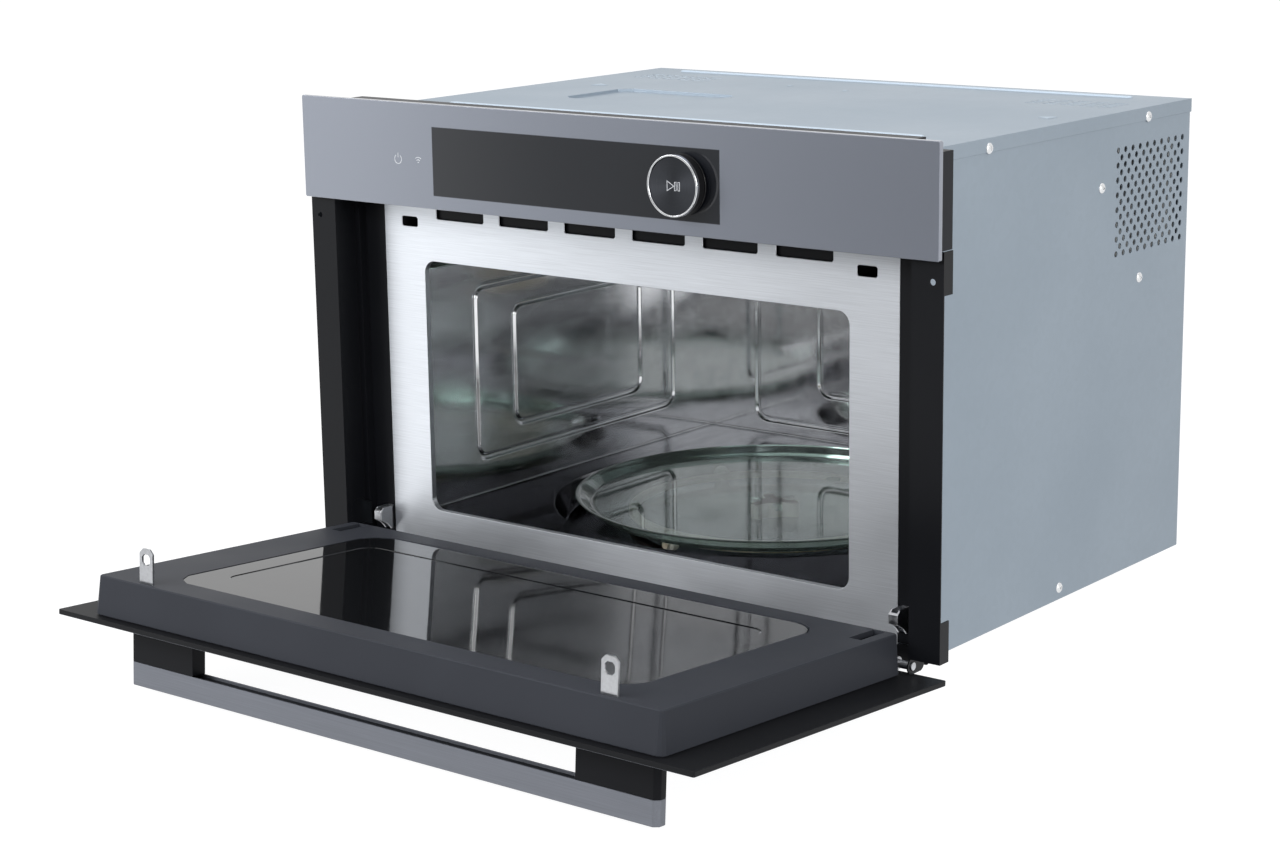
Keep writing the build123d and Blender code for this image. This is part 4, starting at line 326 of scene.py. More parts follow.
screw_plate = plated("screw_plate", (0.74, 0.75, 0.76), 0.2)
knob_chrome = plated("knob_chrome", (0.86, 0.87, 0.89), 0.16, (90, 90, 90), 0.02)
shaft_brass = plated("shaft_brass", (0.62, 0.5, 0.26), 0.28)
can_bright = plated("can_bright", (0.62, 0.63, 0.64), 0.3, (40, 40, 700))
screen_steel = plated("screen_steel", (0.2, 0.2, 0.21), 0.35)
handle_anodised = brushed_steel("handle_anodised", (0.17, 0.18, 0.205), 0.36, (14, 1500, 1500),
                                0.00003, 0.85)
print("metal finishes:", screw_plate.name, knob_chrome.name, handle_anodised.name)

# %% [markdown]
# The glasses of the front are float glass with a print on the back, so the colour lies under a
# clear gloss. A smooth coat over a duller metallic print gives that depth on the panel. What shows
# of the door's glass is the bare back of its print, so that one has no coat.
# On the control panel the print has a darker rectangle, which is the window of the display.
# The rectangle is cut in the colour by comparing Object coordinates with its edges.

# %% A mask that is one inside a box
def inside_box(tree, low, high, soft=0.0003):
    """Value of one between two corners, where an axis with the same low and high is left out."""
    mask = None
    for axis in range(3):
        if low[axis] == high[axis]:
            continue
        along = one_axis(tree, place_on(tree), axis)
        for edge, side in ((low[axis], 1), (high[axis], -1)):
            step = spread(tree, along, 0, 1, edge - side * soft, edge + side * soft)
            mask = combine(tree, "MULTIPLY", mask, step) if mask else step
    return mask


# %% A length along the door's thickness, and the print on the door's front
hinge = Vector((0, -0.2193, 0.0059))
door_angle = math.radians(86.2)


def back_to_shut(tree):
    """Object coordinates of the open door, turned back to the shut door."""
    where = tree.nodes.new("ShaderNodeTexCoord")
    mapping = tree.nodes.new("ShaderNodeMapping")
    mapping.inputs["Rotation"].default_value = (-door_angle, 0, 0)
    back = Matrix.Rotation(-door_angle, 3, "X")
    mapping.inputs["Location"].default_value = hinge - back @ hinge
    tree.links.new(where.outputs["Object"], mapping.inputs["Vector"])
    return mapping.outputs["Vector"]


def behind(tree, vector, level, soft=0.0002):
    """Value of one where the depth of a place lies behind a level."""
    return spread(tree, one_axis(tree, vector, "Y"), 0, 1, level - soft, level + soft)


# %% Printed glass of the panel and the door
display_low = (-0.1584, 0, 0.3060)
display_high = (0.1158, 0, 0.3591)


def printed_glass(name, colour, metallic, window=None, rear=None, coat=1.0):
    finish, tree, shader = start_finish(name, colour, metallic, 0.3)
    shader.inputs["Specular IOR Level"].default_value = 0.15
    shader.inputs["Coat Weight"].default_value = coat
    shader.inputs["Coat Roughness"].default_value = 0.03
    shader.inputs["Coat IOR"].default_value = 1.5
    flakes = noise_on(tree, (2500, 2500, 2500), 2)
    print_tone = blend_colours(tree, spread(tree, flakes, 0, 1), shade(colour, 0.95),
                               shade(colour, 1.05))
    if window:
        mask = inside_box(tree, *window)
        print_tone = blend_colours(tree, mask, print_tone, (0.010, 0.0115, 0.0155))
        tree.links.new(spread(tree, mask, metallic, 0.0, 0, 1), shader.inputs["Metallic"])
    if rear:
        mask = behind(tree, back_to_shut(tree), rear)
        print_tone = blend_colours(tree, mask, print_tone, (0.007, 0.0075, 0.009))
        tree.links.new(spread(tree, mask, metallic, 0.0, 0, 1), shader.inputs["Metallic"])
        tree.links.new(spread(tree, mask, 0.24, 0.5, 0, 1), shader.inputs["Roughness"])
    tree.links.new(print_tone, shader.inputs["Base Color"])
    return finish


panel_print = printed_glass("panel_print", (0.27, 0.29, 0.34), 0.75, (display_low, display_high))
door_print = printed_glass("door_print", (0.25, 0.265, 0.305), 0.75, rear=-0.2297, coat=0.0)
print("display window:", display_low, display_high)

# %% [markdown]
# The inner glass of the door is smoked glass with a black printed border.
# It is dark and very smooth, so most of what is seen in it is the reflection of the oven.

# %% Inner glass, tray glass and lamp glass
smoked_glass, tree, shader = start_finish("smoked_glass", (0.008, 0.0085, 0.0095), 0.0, 0.04)
smears = noise_on(tree, (30, 30, 30), 4)
tree.links.new(spread(tree, smears, 0.03, 0.06), shader.inputs["Roughness"])
shader.inputs["Specular IOR Level"].default_value = 0.38

tray_clear, tree, shader = start_finish("tray_clear", (0.66, 0.77, 0.73), 0.0, 0.02)
shader.inputs["Transmission Weight"].default_value = 0.94
shader.inputs["IOR"].default_value = 1.45
ripple = noise_on(tree, (60, 60, 60), 2)
tree.links.new(spread(tree, ripple, 0.01, 0.04), shader.inputs["Roughness"])
raise_relief(tree, shader, ripple, 0.0002, 0.15)

lamp_clear, tree, shader = start_finish("lamp_clear", (0.9, 0.88, 0.8), 0.0, 0.08)
shader.inputs["Transmission Weight"].default_value = 0.9
frost = noise_on(tree, (200, 200, 200), 3)
tree.links.new(spread(tree, frost, 0.05, 0.15), shader.inputs["Roughness"])
print("glasses:", smoked_glass.name, tray_clear.name, lamp_clear.name)

# %% [markdown]
# Each slot of the record gets its finish. A solid keeps its mesh, and only the material in its
# slot changes. The interlock housings are given black in place of their slot's finish, as
# painted shade, so that the latch slots look dark inside.

# %% Dress the solids
knob_gloss = printed_glass("knob_gloss", (0.007, 0.007, 0.008), 0.0, coat=0.6)
knob_spun = plated("knob_spun", (0.045, 0.048, 0.055), 0.3, (500, 500, 500))
finish_of = {
    "casing_steel": casing_zinc,
    "casing_screw": screw_plate,
    "face_steel": face_brushed,
    "cavity_steel": cavity_polished,
    "plated_sheet": inner_zinc,
    "mica": mica_tan,
    "transformer_iron": winding_dark,
    "can_aluminium": can_bright,
    "component_black": part_black,
    "housing_white": housing_white,
    "fan_plastic": fan_grey,
    "board_green": board_green,
    "lamp_hood": can_bright,
    "lamp_glass": lamp_clear,
    "trim_steel": trim_black,
    "hinge_steel": hinge_plated,
    "door_front_glass": door_print,
    "door_box": door_grey,
    "door_inner": smoked_glass,
    "screen_steel": screen_steel,
    "handle_black": post_black,
    "handle_metal": handle_anodised,
    "control_glass": panel_print,
    "carrier_plastic": carrier_black,
    "knob_black": knob_gloss,
    "knob_chrome": knob_chrome,
    "knob_face": knob_spun,
    "shaft_brass": shaft_brass,
    "tray_glass": tray_clear,
    "coupler_plastic": coupler_cream,
    "ring_plastic": ring_cream,
    "roller_plastic": roller_white,
}
for piece in oven.values():
    for place in piece.material_slots:
        place.material = finish_of[place.material.name.split(".")[0]]
# Painted shade: the interlock housings are made black so the latch slots look dark inside.
oven["interlock_housings"].material_slots[0].material = part_black
print("slots dressed:", len(finish_of))

# %% [markdown]
# The solids have sharp edges, and real sheets and mouldings don't: every fold and every moulded
# corner has a small radius that catches the light as a thin bright line.
# A solid's mesh may not be changed, so a copy of it is taken. The copy's loose triangles are
# welded and joined into flat faces, which gives clean edges to bevel.
# A flat face beside a bevel must stay flat in the light. The Weighted Normal modifier sees to it.

# %% Open a piece, choose parts of it by their place, and close it
def only(piece):
    """Select one piece alone and make it the active one."""
    bpy.ops.object.select_all(action="DESELECT")
    piece.select_set(True)
    bpy.context.view_layer.objects.active = piece


def open_edit(piece):
    only(piece)
    bpy.ops.object.mode_set(mode="EDIT")
    bpy.context.tool_settings.mesh_select_mode = (True, False, False)
    bpy.ops.mesh.select_all(action="SELECT")


def close_edit():
    bpy.ops.object.mode_set(mode="OBJECT")
    return bpy.context.object


def pick(kind, test):
    """Select the verts, edges or faces of the open piece that pass a test."""
    modes = [kind == part for part in ("verts", "edges", "faces")]
    bpy.context.tool_settings.mesh_select_mode = modes
    bpy.ops.mesh.select_all(action="DESELECT")
    mesh = bpy.context.object.data
    shape = bmesh.from_edit_mesh(mesh)
    for part in getattr(shape, kind):
        if test(part):
            part.select_set(True)
    shape.select_flush_mode()
    bmesh.update_edit_mesh(mesh)


def middle_of(edge):
    return (edge.verts[0].co + edge.verts[1].co) / 2


# %% Copy a solid, round its edges and settle it on its body
def take_copy(name, node):
    piece = bpy.data.objects.new(name, oven[node].data.copy())
    piece.data.name = name
    bpy.context.collection.objects.link(piece)
    open_edit(piece)
    bpy.ops.mesh.customdata_custom_splitnormals_clear()
    bpy.ops.mesh.remove_doubles(threshold=1e-6)
    bpy.ops.mesh.dissolve_limited(angle_limit=math.radians(1))
    return close_edit()


def soften(piece, width, steps=2, angle=25, where=None):
    open_edit(piece)
    pick("edges", lambda edge: edge.is_manifold and edge.calc_face_angle(0) > math.radians(angle)
         and (where is None or where(middle_of(edge))))
    bpy.ops.mesh.bevel(offset=width, segments=steps, affect="EDGES", clamp_overlap=True)
    return close_edit()


def apply_modifiers(piece):
    only(piece)
    for name in [m.name for m in piece.modifiers]:
        bpy.ops.object.modifier_apply(modifier=name)


def thicken(piece, depth, offset=-1):
    """Give an open sheet its thickness behind its face, or on both sides of it."""
    wall = piece.modifiers.new("wall", "SOLIDIFY")
    wall.thickness = depth
    wall.offset = offset
    apply_modifiers(piece)


def settle(piece, slot, nodes=(), body="cabinet", angle=40, finish=None):
    """Shade a piece, give it its finish, and let it ride in place of the solids it stands for."""
    only(piece)
    bpy.ops.object.transform_apply(location=True, rotation=True, scale=True)
    bpy.ops.object.shade_smooth_by_angle(angle=math.radians(angle))
    even = piece.modifiers.new("even_normals", "WEIGHTED_NORMAL")
    even.keep_sharp = True
    apply_modifiers(piece)
    piece.data.materials.clear()
    piece.data.materials.append(finish or finish_of[slot])
    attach(piece, body)
    if nodes:
        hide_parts(*nodes)
    return piece


# %% [markdown]
# Most pieces of the casing and the front only need their edges rounded: a fold in thin sheet gets
# a third of a millimetre, a moulding nearly one.

# %% Sheets and mouldings with rounded edges
softened_copies = (
    ("casing_side_left", "side_panel_left", 0.00035, "casing_steel"),
    ("casing_rear", "rear_panel", 0.00035, "casing_steel"),
    ("casing_base", "base_plate", 0.00035, "casing_steel"),
    ("front_face", "face_plate", 0.00045, "face_steel"),
    ("trim_post_left", "trim_left", 0.0004, "trim_steel"),
    ("trim_post_right", "trim_right", 0.0004, "trim_steel"),
    ("panel_shell", "panel_carrier", 0.0008, "carrier_plastic"),
    ("panel_front", "panel_glass", 0.0004, "control_glass"),
    ("staples", "hinge_brackets", 0.0004, "hinge_steel"),
    ("rail_pair", "cavity_rails", 0.0003, "plated_sheet"),
    ("coupler_turned", "turntable_coupler", 0.0008, "coupler_plastic"),
)
for name, node, width, slot in softened_copies:
    copy = soften(take_copy(name, node), width)
    settle(copy, slot, (node,), oven[node]["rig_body"])
    print(name, "has", len(copy.data.polygons), "faces")

# %% [markdown]
# The right side of the casing carries a field of round air holes, eight rows of ten with seven
# rows of nine between them. The solid has plain square holes there, to keep it light.
# One round punch is modelled, copied to each place and cut from the sheet with a Boolean, which
# takes the square holes with it.

# %% Right side with its round holes
punch_r = 0.00245
field_y, field_z = 0.130, 0.296
pitch_y, pitch_z = 0.0116, 0.01136


def make_punch(name, radius, length, sides=12):
    bpy.ops.object.select_all(action="DESELECT")
    bpy.ops.mesh.primitive_circle_add(vertices=sides, radius=radius, fill_type="NGON")
    punch = bpy.context.object
    punch.name = name
    open_edit(punch)
    bpy.ops.mesh.extrude_region_move(TRANSFORM_OT_translate={"value": (0, 0, length)})
    bpy.ops.mesh.select_all(action="SELECT")
    bpy.ops.mesh.normals_make_consistent(inside=False)
    return close_edit()


def repeat(piece, matrices):
    """Copy a piece to each place, and join the copies into one object."""
    copies = []
    for number, matrix in enumerate(matrices):
        copy = bpy.data.objects.new(f"{piece.name}_{number}", piece.data.copy())
        bpy.context.collection.objects.link(copy)
        copy.data.transform(matrix)
        copies.append(copy)
    return join(piece.name + "_set", copies, spare=(piece,))


def join(name, pieces, spare=()):
    for piece in spare:
        bpy.data.objects.remove(piece)
    bpy.ops.object.select_all(action="DESELECT")
    for piece in pieces:
        piece.select_set(True)
    bpy.context.view_layer.objects.active = pieces[0]
    bpy.ops.object.join()
    whole = bpy.context.object
    whole.name = name
    return whole


def cut(piece, tool):
    """Take a tool's shape out of a piece, and drop the tool."""
    less = piece.modifiers.new("less", "BOOLEAN")
    less.operation = "DIFFERENCE"
    less.solver = "EXACT"
    less.object = tool
    apply_modifiers(piece)
    bpy.data.objects.remove(tool)


hole_places = []
for columns, rows in ((10, 8), (9, 7)):
    for column in range(columns):
        for row in range(rows):
            hole_places.append((field_y + (column - (columns - 1) / 2) * pitch_y,
                                field_z + (row - (rows - 1) / 2) * pitch_z))
punch = make_punch("punch", punch_r, 0.004)
along_x = Matrix.Rotation(math.radians(90), 4, "Y")
punches = repeat(punch, [Matrix.Translation((0.2625, y, z)) @ along_x for y, z in hole_places])
right_side = take_copy("casing_side_right", "side_panel_right")
cut(right_side, punches)
soften(right_side, 0.0003, where=lambda p: p.y < 0.06 or p.y > 0.19 or p.z < 0.2 or p.z > 0.36)
settle(right_side, "casing_steel", ("side_panel_right",))
print("holes in the right side:", len(hole_places))

# %% [markdown]
# The top cover has two raised beads, a pressed pocket and fields of slots. The press also leaves a
# pair of small dimples and two shallow three-cornered marks, which give the flat sheet its scale.
# Each is a flat outline that is lifted in the middle by insets, and laid on the sheet.

# %% Top cover with its pressings
cover_z = 0.365


def pressing(name, sides, radius, place, turn, rise, slope):
    bpy.ops.object.select_all(action="DESELECT")
    bpy.ops.mesh.primitive_circle_add(vertices=sides, radius=radius, fill_type="NGON",
                                      location=(*place, cover_z),
                                      rotation=(0, 0, math.radians(turn)))
    mark = bpy.context.object
    mark.name = name
    open_edit(mark)
    if sides == 3:
        bpy.ops.mesh.bevel(offset=radius * 0.3, segments=4, affect="VERTICES")
        bpy.ops.mesh.select_all(action="SELECT")
    bpy.ops.mesh.inset(thickness=slope * 0.25, depth=rise * 0.12)
    bpy.ops.mesh.inset(thickness=slope * 0.5, depth=rise * 0.76)
    bpy.ops.mesh.inset(thickness=slope * 0.25, depth=rise * 0.12)
    return close_edit()


cover = soften(take_copy("casing_cover", "top_cover"), 0.0005, 3)
marks = [pressing("dimple_a", 24, 0.0042, (-0.067, 0.116), 0, 0.0007, 0.003),
         pressing("dimple_b", 24, 0.0042, (-0.0037, 0.1048), 0, 0.0007, 0.003),
         pressing("corner_mark_a", 3, 0.0105, (-0.2129, 0.0419), 30, 0.0007, 0.0016),
         pressing("corner_mark_b", 3, 0.0105, (0.238, 0.016), 90, 0.0007, 0.0016)]
cover = join("casing_cover", [cover] + marks)
settle(cover, "casing_steel", ("top_cover",))
print(cover.name, "has", len(cover.data.polygons), "faces")

# %% [markdown]
# The casing screws have low domed heads with a cross recess. One head is turned, its cross is cut,
# and it is copied to the place of every screw of the solids. Those places are the middles of the
# loose parts of the screws' mesh.

# %% Turn a profile about an upright axis
def turned(name, points, steps=48, rounded=(), round_by=0.0005, closed=False):
    """Spin a line through points of radius and height about the Z axis."""
    bpy.ops.object.select_all(action="DESELECT")
    bpy.ops.mesh.primitive_plane_add(size=0.01, location=(0, 0, 0))
    piece = bpy.context.object
    piece.name = name
    open_edit(piece)
    bpy.ops.mesh.merge(type="CENTER")
    bpy.ops.transform.translate(value=(points[0][0], 0, points[0][1]))
    line = list(points) + ([points[0]] if closed else [])
    for start, end in zip(line, line[1:]):
        step = (end[0] - start[0], 0, end[1] - start[1])
        bpy.ops.mesh.extrude_vertices_move(TRANSFORM_OT_translate={"value": step})
    bpy.ops.mesh.select_all(action="SELECT")
    bpy.ops.mesh.remove_doubles(threshold=1e-6)
    if rounded:
        spots = [Vector((points[i][0], 0, points[i][1])) for i in rounded]
        pick("verts", lambda v: any((v.co - spot).length < 1e-5 for spot in spots))
        bpy.ops.mesh.bevel(offset=round_by, segments=4, affect="VERTICES")
    bpy.ops.mesh.select_all(action="SELECT")
    bpy.ops.mesh.spin(steps=steps, angle=2 * math.pi, center=(0, 0, 0), axis=(0, 0, 1))
    bpy.ops.mesh.select_all(action="SELECT")
    bpy.ops.mesh.remove_doubles(threshold=1e-6)
    bpy.ops.mesh.normals_make_consistent(inside=False)
    return close_edit()


# %% Screws with domed heads and cross recesses
def place_of_parts(node):
    """Middle of each loose part of a solid's mesh."""
    shape = bmesh.new()
    shape.from_mesh(oven[node].data)
    bmesh.ops.remove_doubles(shape, verts=shape.verts, dist=1e-6)
    left = set(shape.verts)
    parts = []
    while left:
        front = [left.pop()]
        group = list(front)
        while front:
            for edge in front.pop().link_edges:
                for vert in edge.verts:
                    if vert in left:
                        left.remove(vert)
                        front.append(vert)
                        group.append(vert)
        low = Vector([min(v.co[i] for v in group) for i in range(3)])
        high = Vector([max(v.co[i] for v in group) for i in range(3)])
        parts.append((low, high))
    shape.free()
    return sorted(parts, key=lambda part: tuple(part[0]))


head = turned("screw", [(0, 0.0022), (0.0026, 0.0018), (0.0042, 0.0006), (0.0042, 0), (0.0016, 0),
                        (0.0016, -0.004), (0, -0.0046)], 24, (1, 2), 0.0008)
for turn in (0, 90):
    bpy.ops.object.select_all(action="DESELECT")
    bpy.ops.mesh.primitive_cube_add(size=1, location=(0, 0, 0.002))
    blade = bpy.context.object
    open_edit(blade)
    bpy.ops.transform.resize(value=(0.0044, 0.0009, 0.0022), center_override=(0, 0, 0.002))
    bpy.ops.transform.rotate(value=math.radians(turn), orient_axis="Z",
                             center_override=(0, 0, 0.002))
    pick("faces", lambda face: face.normal.z < -0.9)
    bpy.ops.transform.resize(value=(0.4, 0.4, 1), center_override=(0, 0, 0.0009))
    close_edit()
    cut(head, blade)
screw_places = []
for low, high in place_of_parts("casing_screws"):
    side = 1 if high.x > 0 else -1
    middle = (low + high) / 2
    seat = (high.x if side > 0 else low.x) - side * 0.0022
    screw_places.append(Matrix.Translation((seat, middle.y, middle.z))
                        @ Matrix.Rotation(math.radians(90 * side), 4, "Y")
                        @ Matrix.Rotation(math.radians(17 + 31 * len(screw_places)), 4, "Z"))
screws = repeat(head, screw_places)
settle(screws, "casing_screw", ("casing_screws",), angle=30)
print("screws:", len(screw_places))

# %% [markdown]
# The door is drawn shut, where its faces are upright, and then swung open by 86.2 degrees about
# its hinge, which is the pose of the frame. One matrix does that for each of its pieces.
# The box of the door is a soft-edged moulding round a recess, and the inner glass lies in the
# recess. The glass has a flat black border and a window that is pressed half a millimetre deeper,
# which shows as a fine bright line. It is a rounded outline that is inset to a second one.

# %% Door pieces swing open
swing_open = (Matrix.Translation(hinge) @ Matrix.Rotation(door_angle, 4, "X")
              @ Matrix.Translation(-hinge))


def outline(centre, width, height, corner, facing="Y", steps=7):
    """Add a filled rounded rectangle to the open mesh and leave it selected."""
    turns = {"Y": (-90, 0, 0), "-Y": (90, 0, 0), "X": (0, 90, 0), "-X": (0, -90, 0),
             "Z": (0, 0, 0), "-Z": (180, 0, 0)}
    bpy.context.tool_settings.mesh_select_mode = (True, False, False)
    bpy.ops.mesh.select_all(action="DESELECT")
    bpy.ops.mesh.primitive_plane_add(size=1, location=centre,
                                     rotation=[math.radians(a) for a in turns[facing]])
    size = {"Y": (width, 1, height), "X": (1, width, height), "Z": (width, height, 1)}[facing[-1]]
    bpy.ops.transform.resize(value=size, center_override=centre)
    if corner:
        bpy.ops.mesh.bevel(offset=corner, segments=steps, affect="VERTICES")


def start_piece(name):
    bpy.ops.object.select_all(action="DESELECT")
    mesh = bpy.data.meshes.new(name)
    piece = bpy.data.objects.new(name, mesh)
    bpy.context.collection.objects.link(piece)
    open_edit(piece)
    return piece


def press(profile):
    """Inset the selected face again and again: each pair is a width and a depth."""
    for width, depth in profile:
        bpy.ops.mesh.inset(thickness=width, depth=depth, use_even_offset=True)


def reshape(facing, centre, old, new, new_centre=None):
    """Give the selected rounded outline a new width, height and corner radius.

    Each corner is scaled about the middle of its arc and then moved to its new place."""
    mesh = bpy.context.object.data
    chosen = {v.index for v in bmesh.from_edit_mesh(mesh).verts if v.select}
    axes = {"X": (1, 2), "Y": (0, 2), "Z": (0, 1)}[facing[-1]]
    for sides in ((-1, -1), (-1, 1), (1, -1), (1, 1)):
        start, end = Vector(centre), Vector(new_centre or centre)
        for axis, side, before, after in zip(axes, sides, old, new):
            start[axis] += side * (before / 2 - old[2])
            end[axis] += side * (after / 2 - new[2])
        pick("verts", lambda v: v.index in chosen
             and all((v.co[a] - centre[a]) * s > 0 for a, s in zip(axes, sides)))
        bpy.ops.transform.resize(value=[new[2] / old[2]] * 3, center_override=start)
        bpy.ops.transform.translate(value=end - start)
    pick("verts", lambda v: v.index in chosen)


def step_in(facing, centre, old, new):
    """Inset the selected face to another rounded outline."""
    bpy.ops.mesh.inset(thickness=0)
    reshape(facing, centre, old, new)


def widen(facing, centre, old, new, new_centre=None):
    """Extrude the outer edges of the open sheet to a square border."""
    flat = "XYZ".index(facing[-1])
    reach = [old[0] / 2, old[1] / 2]
    axes = [a for a in range(3) if a != flat]

    def on_rim(p):
        off = [abs(p[a] - centre[a]) for a in axes]
        return abs(p[flat] - centre[flat]) < 1e-5 and (
            off[0] > reach[0] - 1.02 * old[2] - 1e-4 or off[1] > reach[1] - 1.02 * old[2] - 1e-4)

    pick("edges", lambda edge: edge.is_boundary and on_rim(middle_of(edge)))
    bpy.ops.mesh.extrude_edges_move()
    reshape(facing, centre, old, new, new_centre)


# %% Inner glass
glass_y = -0.1964
glass_mid = (0, glass_y, 0.14625)
inner_glass = start_piece("inner_glass")
outline(glass_mid, 0.432, 0.220, 0.026)
step_in("Y", glass_mid, (0.432, 0.220, 0.026), (0.386, 0.157, 0.014))
press([(0.0003, -0.0001), (0.0006, -0.0004), (0.0003, -0.0001)])
close_edit()
thicken(inner_glass, 0.0014)
edge = inner_glass.modifiers.new("edge", "BEVEL")
edge.width = 0.0004
edge.segments = 2
edge.angle_limit = math.radians(60)
inner_glass.matrix_world = swing_open
settle(inner_glass, "door_inner", ("door_inner_glass",), "door")
print("inner glass:", [round(v, 4) for v in inner_glass.dimensions])

# %% [markdown]
# The door's box keeps the solid's shape, with softer edges. Its outer edges are nearly a
# millimetre round, and the lip of its recess too.
# The front glass is a plain sheet. What shows of it is the dark edge and the back of its print.

# %% Box, front glass, hooks and arms of the door
door_box = soften(take_copy("door_box", "door_frame"), 0.0009, 3, 20)
settle(door_box, "door_box", ("door_frame",), "door")
front_sheet = soften(take_copy("door_front", "door_glass"), 0.0004)
settle(front_sheet, "door_front_glass", ("door_glass",), "door")
hooks = soften(take_copy("hooks", "latch_hooks"), 0.0004)
settle(hooks, "hinge_steel", ("latch_hooks",), "door")
arms = soften(take_copy("arms", "hinge_arms"), 0.0003)
settle(arms, "hinge_steel", ("hinge_arms",), "door")
print("door pieces:", door_box.name, front_sheet.name, hooks.name, arms.name)

# %% [markdown]
# Four small black sheets close the gaps that let the light through. Two lie outside the slots of
# the side trims where the door's arms swing, two close the corners under the trims. One black strip
# stands behind the vents of the face plate as painted shade, so the vents look dark inside. Each is
# a cube brought to size, with rounded corners.

# %% Black closing sheets
def flat_sheet(name, low, high, along, corner):
    """A thin sheet between two corners, rounded round the axis it is thin along."""
    bpy.ops.object.select_all(action="DESELECT")
    low, high = Vector(low), Vector(high)
    bpy.ops.mesh.primitive_cube_add(size=1, location=(low + high) / 2)
    sheet = bpy.context.object
    sheet.name = name
    open_edit(sheet)
    bpy.ops.transform.resize(value=high - low, center_override=(low + high) / 2)
    pick("edges", lambda edge: abs((edge.verts[0].co - edge.verts[1].co)[along]) > 1e-5)
    bpy.ops.mesh.bevel(offset=corner, segments=5, affect="EDGES")
    close_edit()
    bpy.ops.object.transform_apply(location=True)
    return sheet


for number, side in enumerate((-1, 1), start=1):
    near, far = sorted((side * 0.2742, side * 0.2750))
    cover = flat_sheet(f"arm_cover_{number}", (near, -0.2212, 0.0150),
                       (far, -0.1895, 0.0475), 0, 0.004)
    settle(cover, "trim_steel")
    near, far = sorted((side * 0.2450, side * 0.2715))
    corner_sheet = flat_sheet(f"corner_cover_{number}", (near, -0.1970, 0.0004),
                              (far, -0.1962, 0.0122), 1, 0.002)
    settle(corner_sheet, "trim_steel")
# Painted shade: a black sheet behind the vents, so that they look dark inside.
vent_shade_sheet = flat_sheet("vent_painted_shade", (-0.1885, -0.1925, 0.2605), (0.1885, -0.1919, 0.2915), 1, 0.003)
settle(vent_shade_sheet, "trim_steel")
print("closing sheets:", cover.name, corner_sheet.name, vent_shade_sheet.name)

# %% [markdown]
# The handle is a folded channel of brushed metal over a black core with two posts.

# %% Handle
core = soften(take_copy("handle_posts", "handle_core"), 0.0005)
settle(core, "handle_black", ("handle_core",), "door")
channel = soften(take_copy("handle_cover", "handle_channel"), 0.0003)
settle(channel, "handle_metal", ("handle_channel",), "door")
print("handle pieces:", core.name, channel.name)

# %% [markdown]
# The walls of the cavity are pressed with rings, which stiffen the thin sheet and mix the
# microwaves: two on the left, and one on the right round the feed window. Their rounded grooves
# bend the reflections into bright and dark lines, so they are modelled with a soft profile.
# Each ring is a rounded outline that is inset seven times, with a depth at each step, and then
# inset to the outline of the next ring. The outer edge of the first ring is extruded to the border
# of the wall. The folds to the ceiling are spun from the walls' upper edges, and Solidify gives
# the sheet its thickness.

# %% One pressed wall
groove = [(0.0009, -0.0003), (0.0009, -0.0016), (0.0009, -0.0003), (0.0016, 0),
          (0.0009, 0.0003), (0.0009, 0.0016), (0.0009, 0.0003)]
sheet_t = 0.0008
wall_x = 0.2035
wall_low, ceiling_z = 0.043, 0.248
fold_r = 0.011
front_y, rear_y = -0.194, 0.185
mid_y, mid_z = (front_y + rear_y) / 2, 0.145


def at(axis, level, across, up):
    return (level, across, up) if axis == "X" else (across, level, up)


def pressed_wall(facing, level, border, rings, window=None):
    """Add a wall with pressed rings to the open mesh. A ring is its width, height and corner."""
    axis = facing[-1]
    centre = at(axis, level, mid_y if axis == "X" else 0, mid_z)
    outline(centre, *rings[0], facing)
    for number, ring in enumerate(rings):
        press(groove)
        inside = (ring[0] - 0.014, ring[1] - 0.014, ring[2] - 0.007)
        if number + 1 < len(rings):
            step_in(facing, centre, inside, rings[number + 1])
        elif window:
            step_in(facing, centre, inside, window)
            bpy.ops.mesh.delete(type="FACE")
    low, high = border
    middle = at(axis, level, (low[0] + high[0]) / 2, (low[1] + high[1]) / 2)
    widen(facing, centre, rings[0], (high[0] - low[0], high[1] - low[1], 0), middle)
    bpy.ops.mesh.select_all(action="SELECT")
    bpy.ops.mesh.remove_doubles(threshold=0.00002)


# %% Walls and ceiling
cavity = start_piece("cavity_walls")
side_border = ((front_y, wall_low), (rear_y, ceiling_z - fold_r))
pressed_wall("X", -wall_x, side_border, [(0.270, 0.150, 0.014), (0.175, 0.108, 0.014)])
pressed_wall("-X", wall_x, side_border, [(0.270, 0.150, 0.014)], (0.076, 0.052, 0.001))
outline((0, mid_y, ceiling_z), 2 * (wall_x - fold_r), rear_y - front_y, 0, "-Z")
for side in (-1, 1):
    pick("edges", lambda edge: all(abs(v.co.x - side * wall_x) < 1e-4
                                   and abs(v.co.z - ceiling_z + fold_r) < 1e-4
                                   for v in edge.verts))
    bpy.ops.mesh.spin(steps=8, angle=side * math.pi / 2, axis=(0, 1, 0),
                      center=(side * (wall_x - fold_r), 0, ceiling_z - fold_r))
    pick("edges", lambda edge: all(abs(v.co.x - side * wall_x) < 1e-4
                                   and abs(v.co.z - wall_low) < 1e-4 for v in edge.verts))
    bpy.ops.mesh.extrude_region_move(TRANSFORM_OT_translate={"value": (side * 0.009, 0, 0)})
bpy.ops.mesh.select_all(action="SELECT")
bpy.ops.mesh.remove_doubles(threshold=0.00005)
bpy.ops.mesh.normals_make_consistent(inside=True)
close_edit()
print("cavity walls:", len(cavity.data.polygons), "faces, size",
      [round(v, 4) for v in cavity.dimensions])
print("ceiling faces down:", min(cavity.data.polygons, key=lambda f: -f.center.z).normal.z < 0)
thicken(cavity, sheet_t)

# %% [markdown]
# Above the ceiling sits the lamp. Its light comes through nine round holes, which are punched.

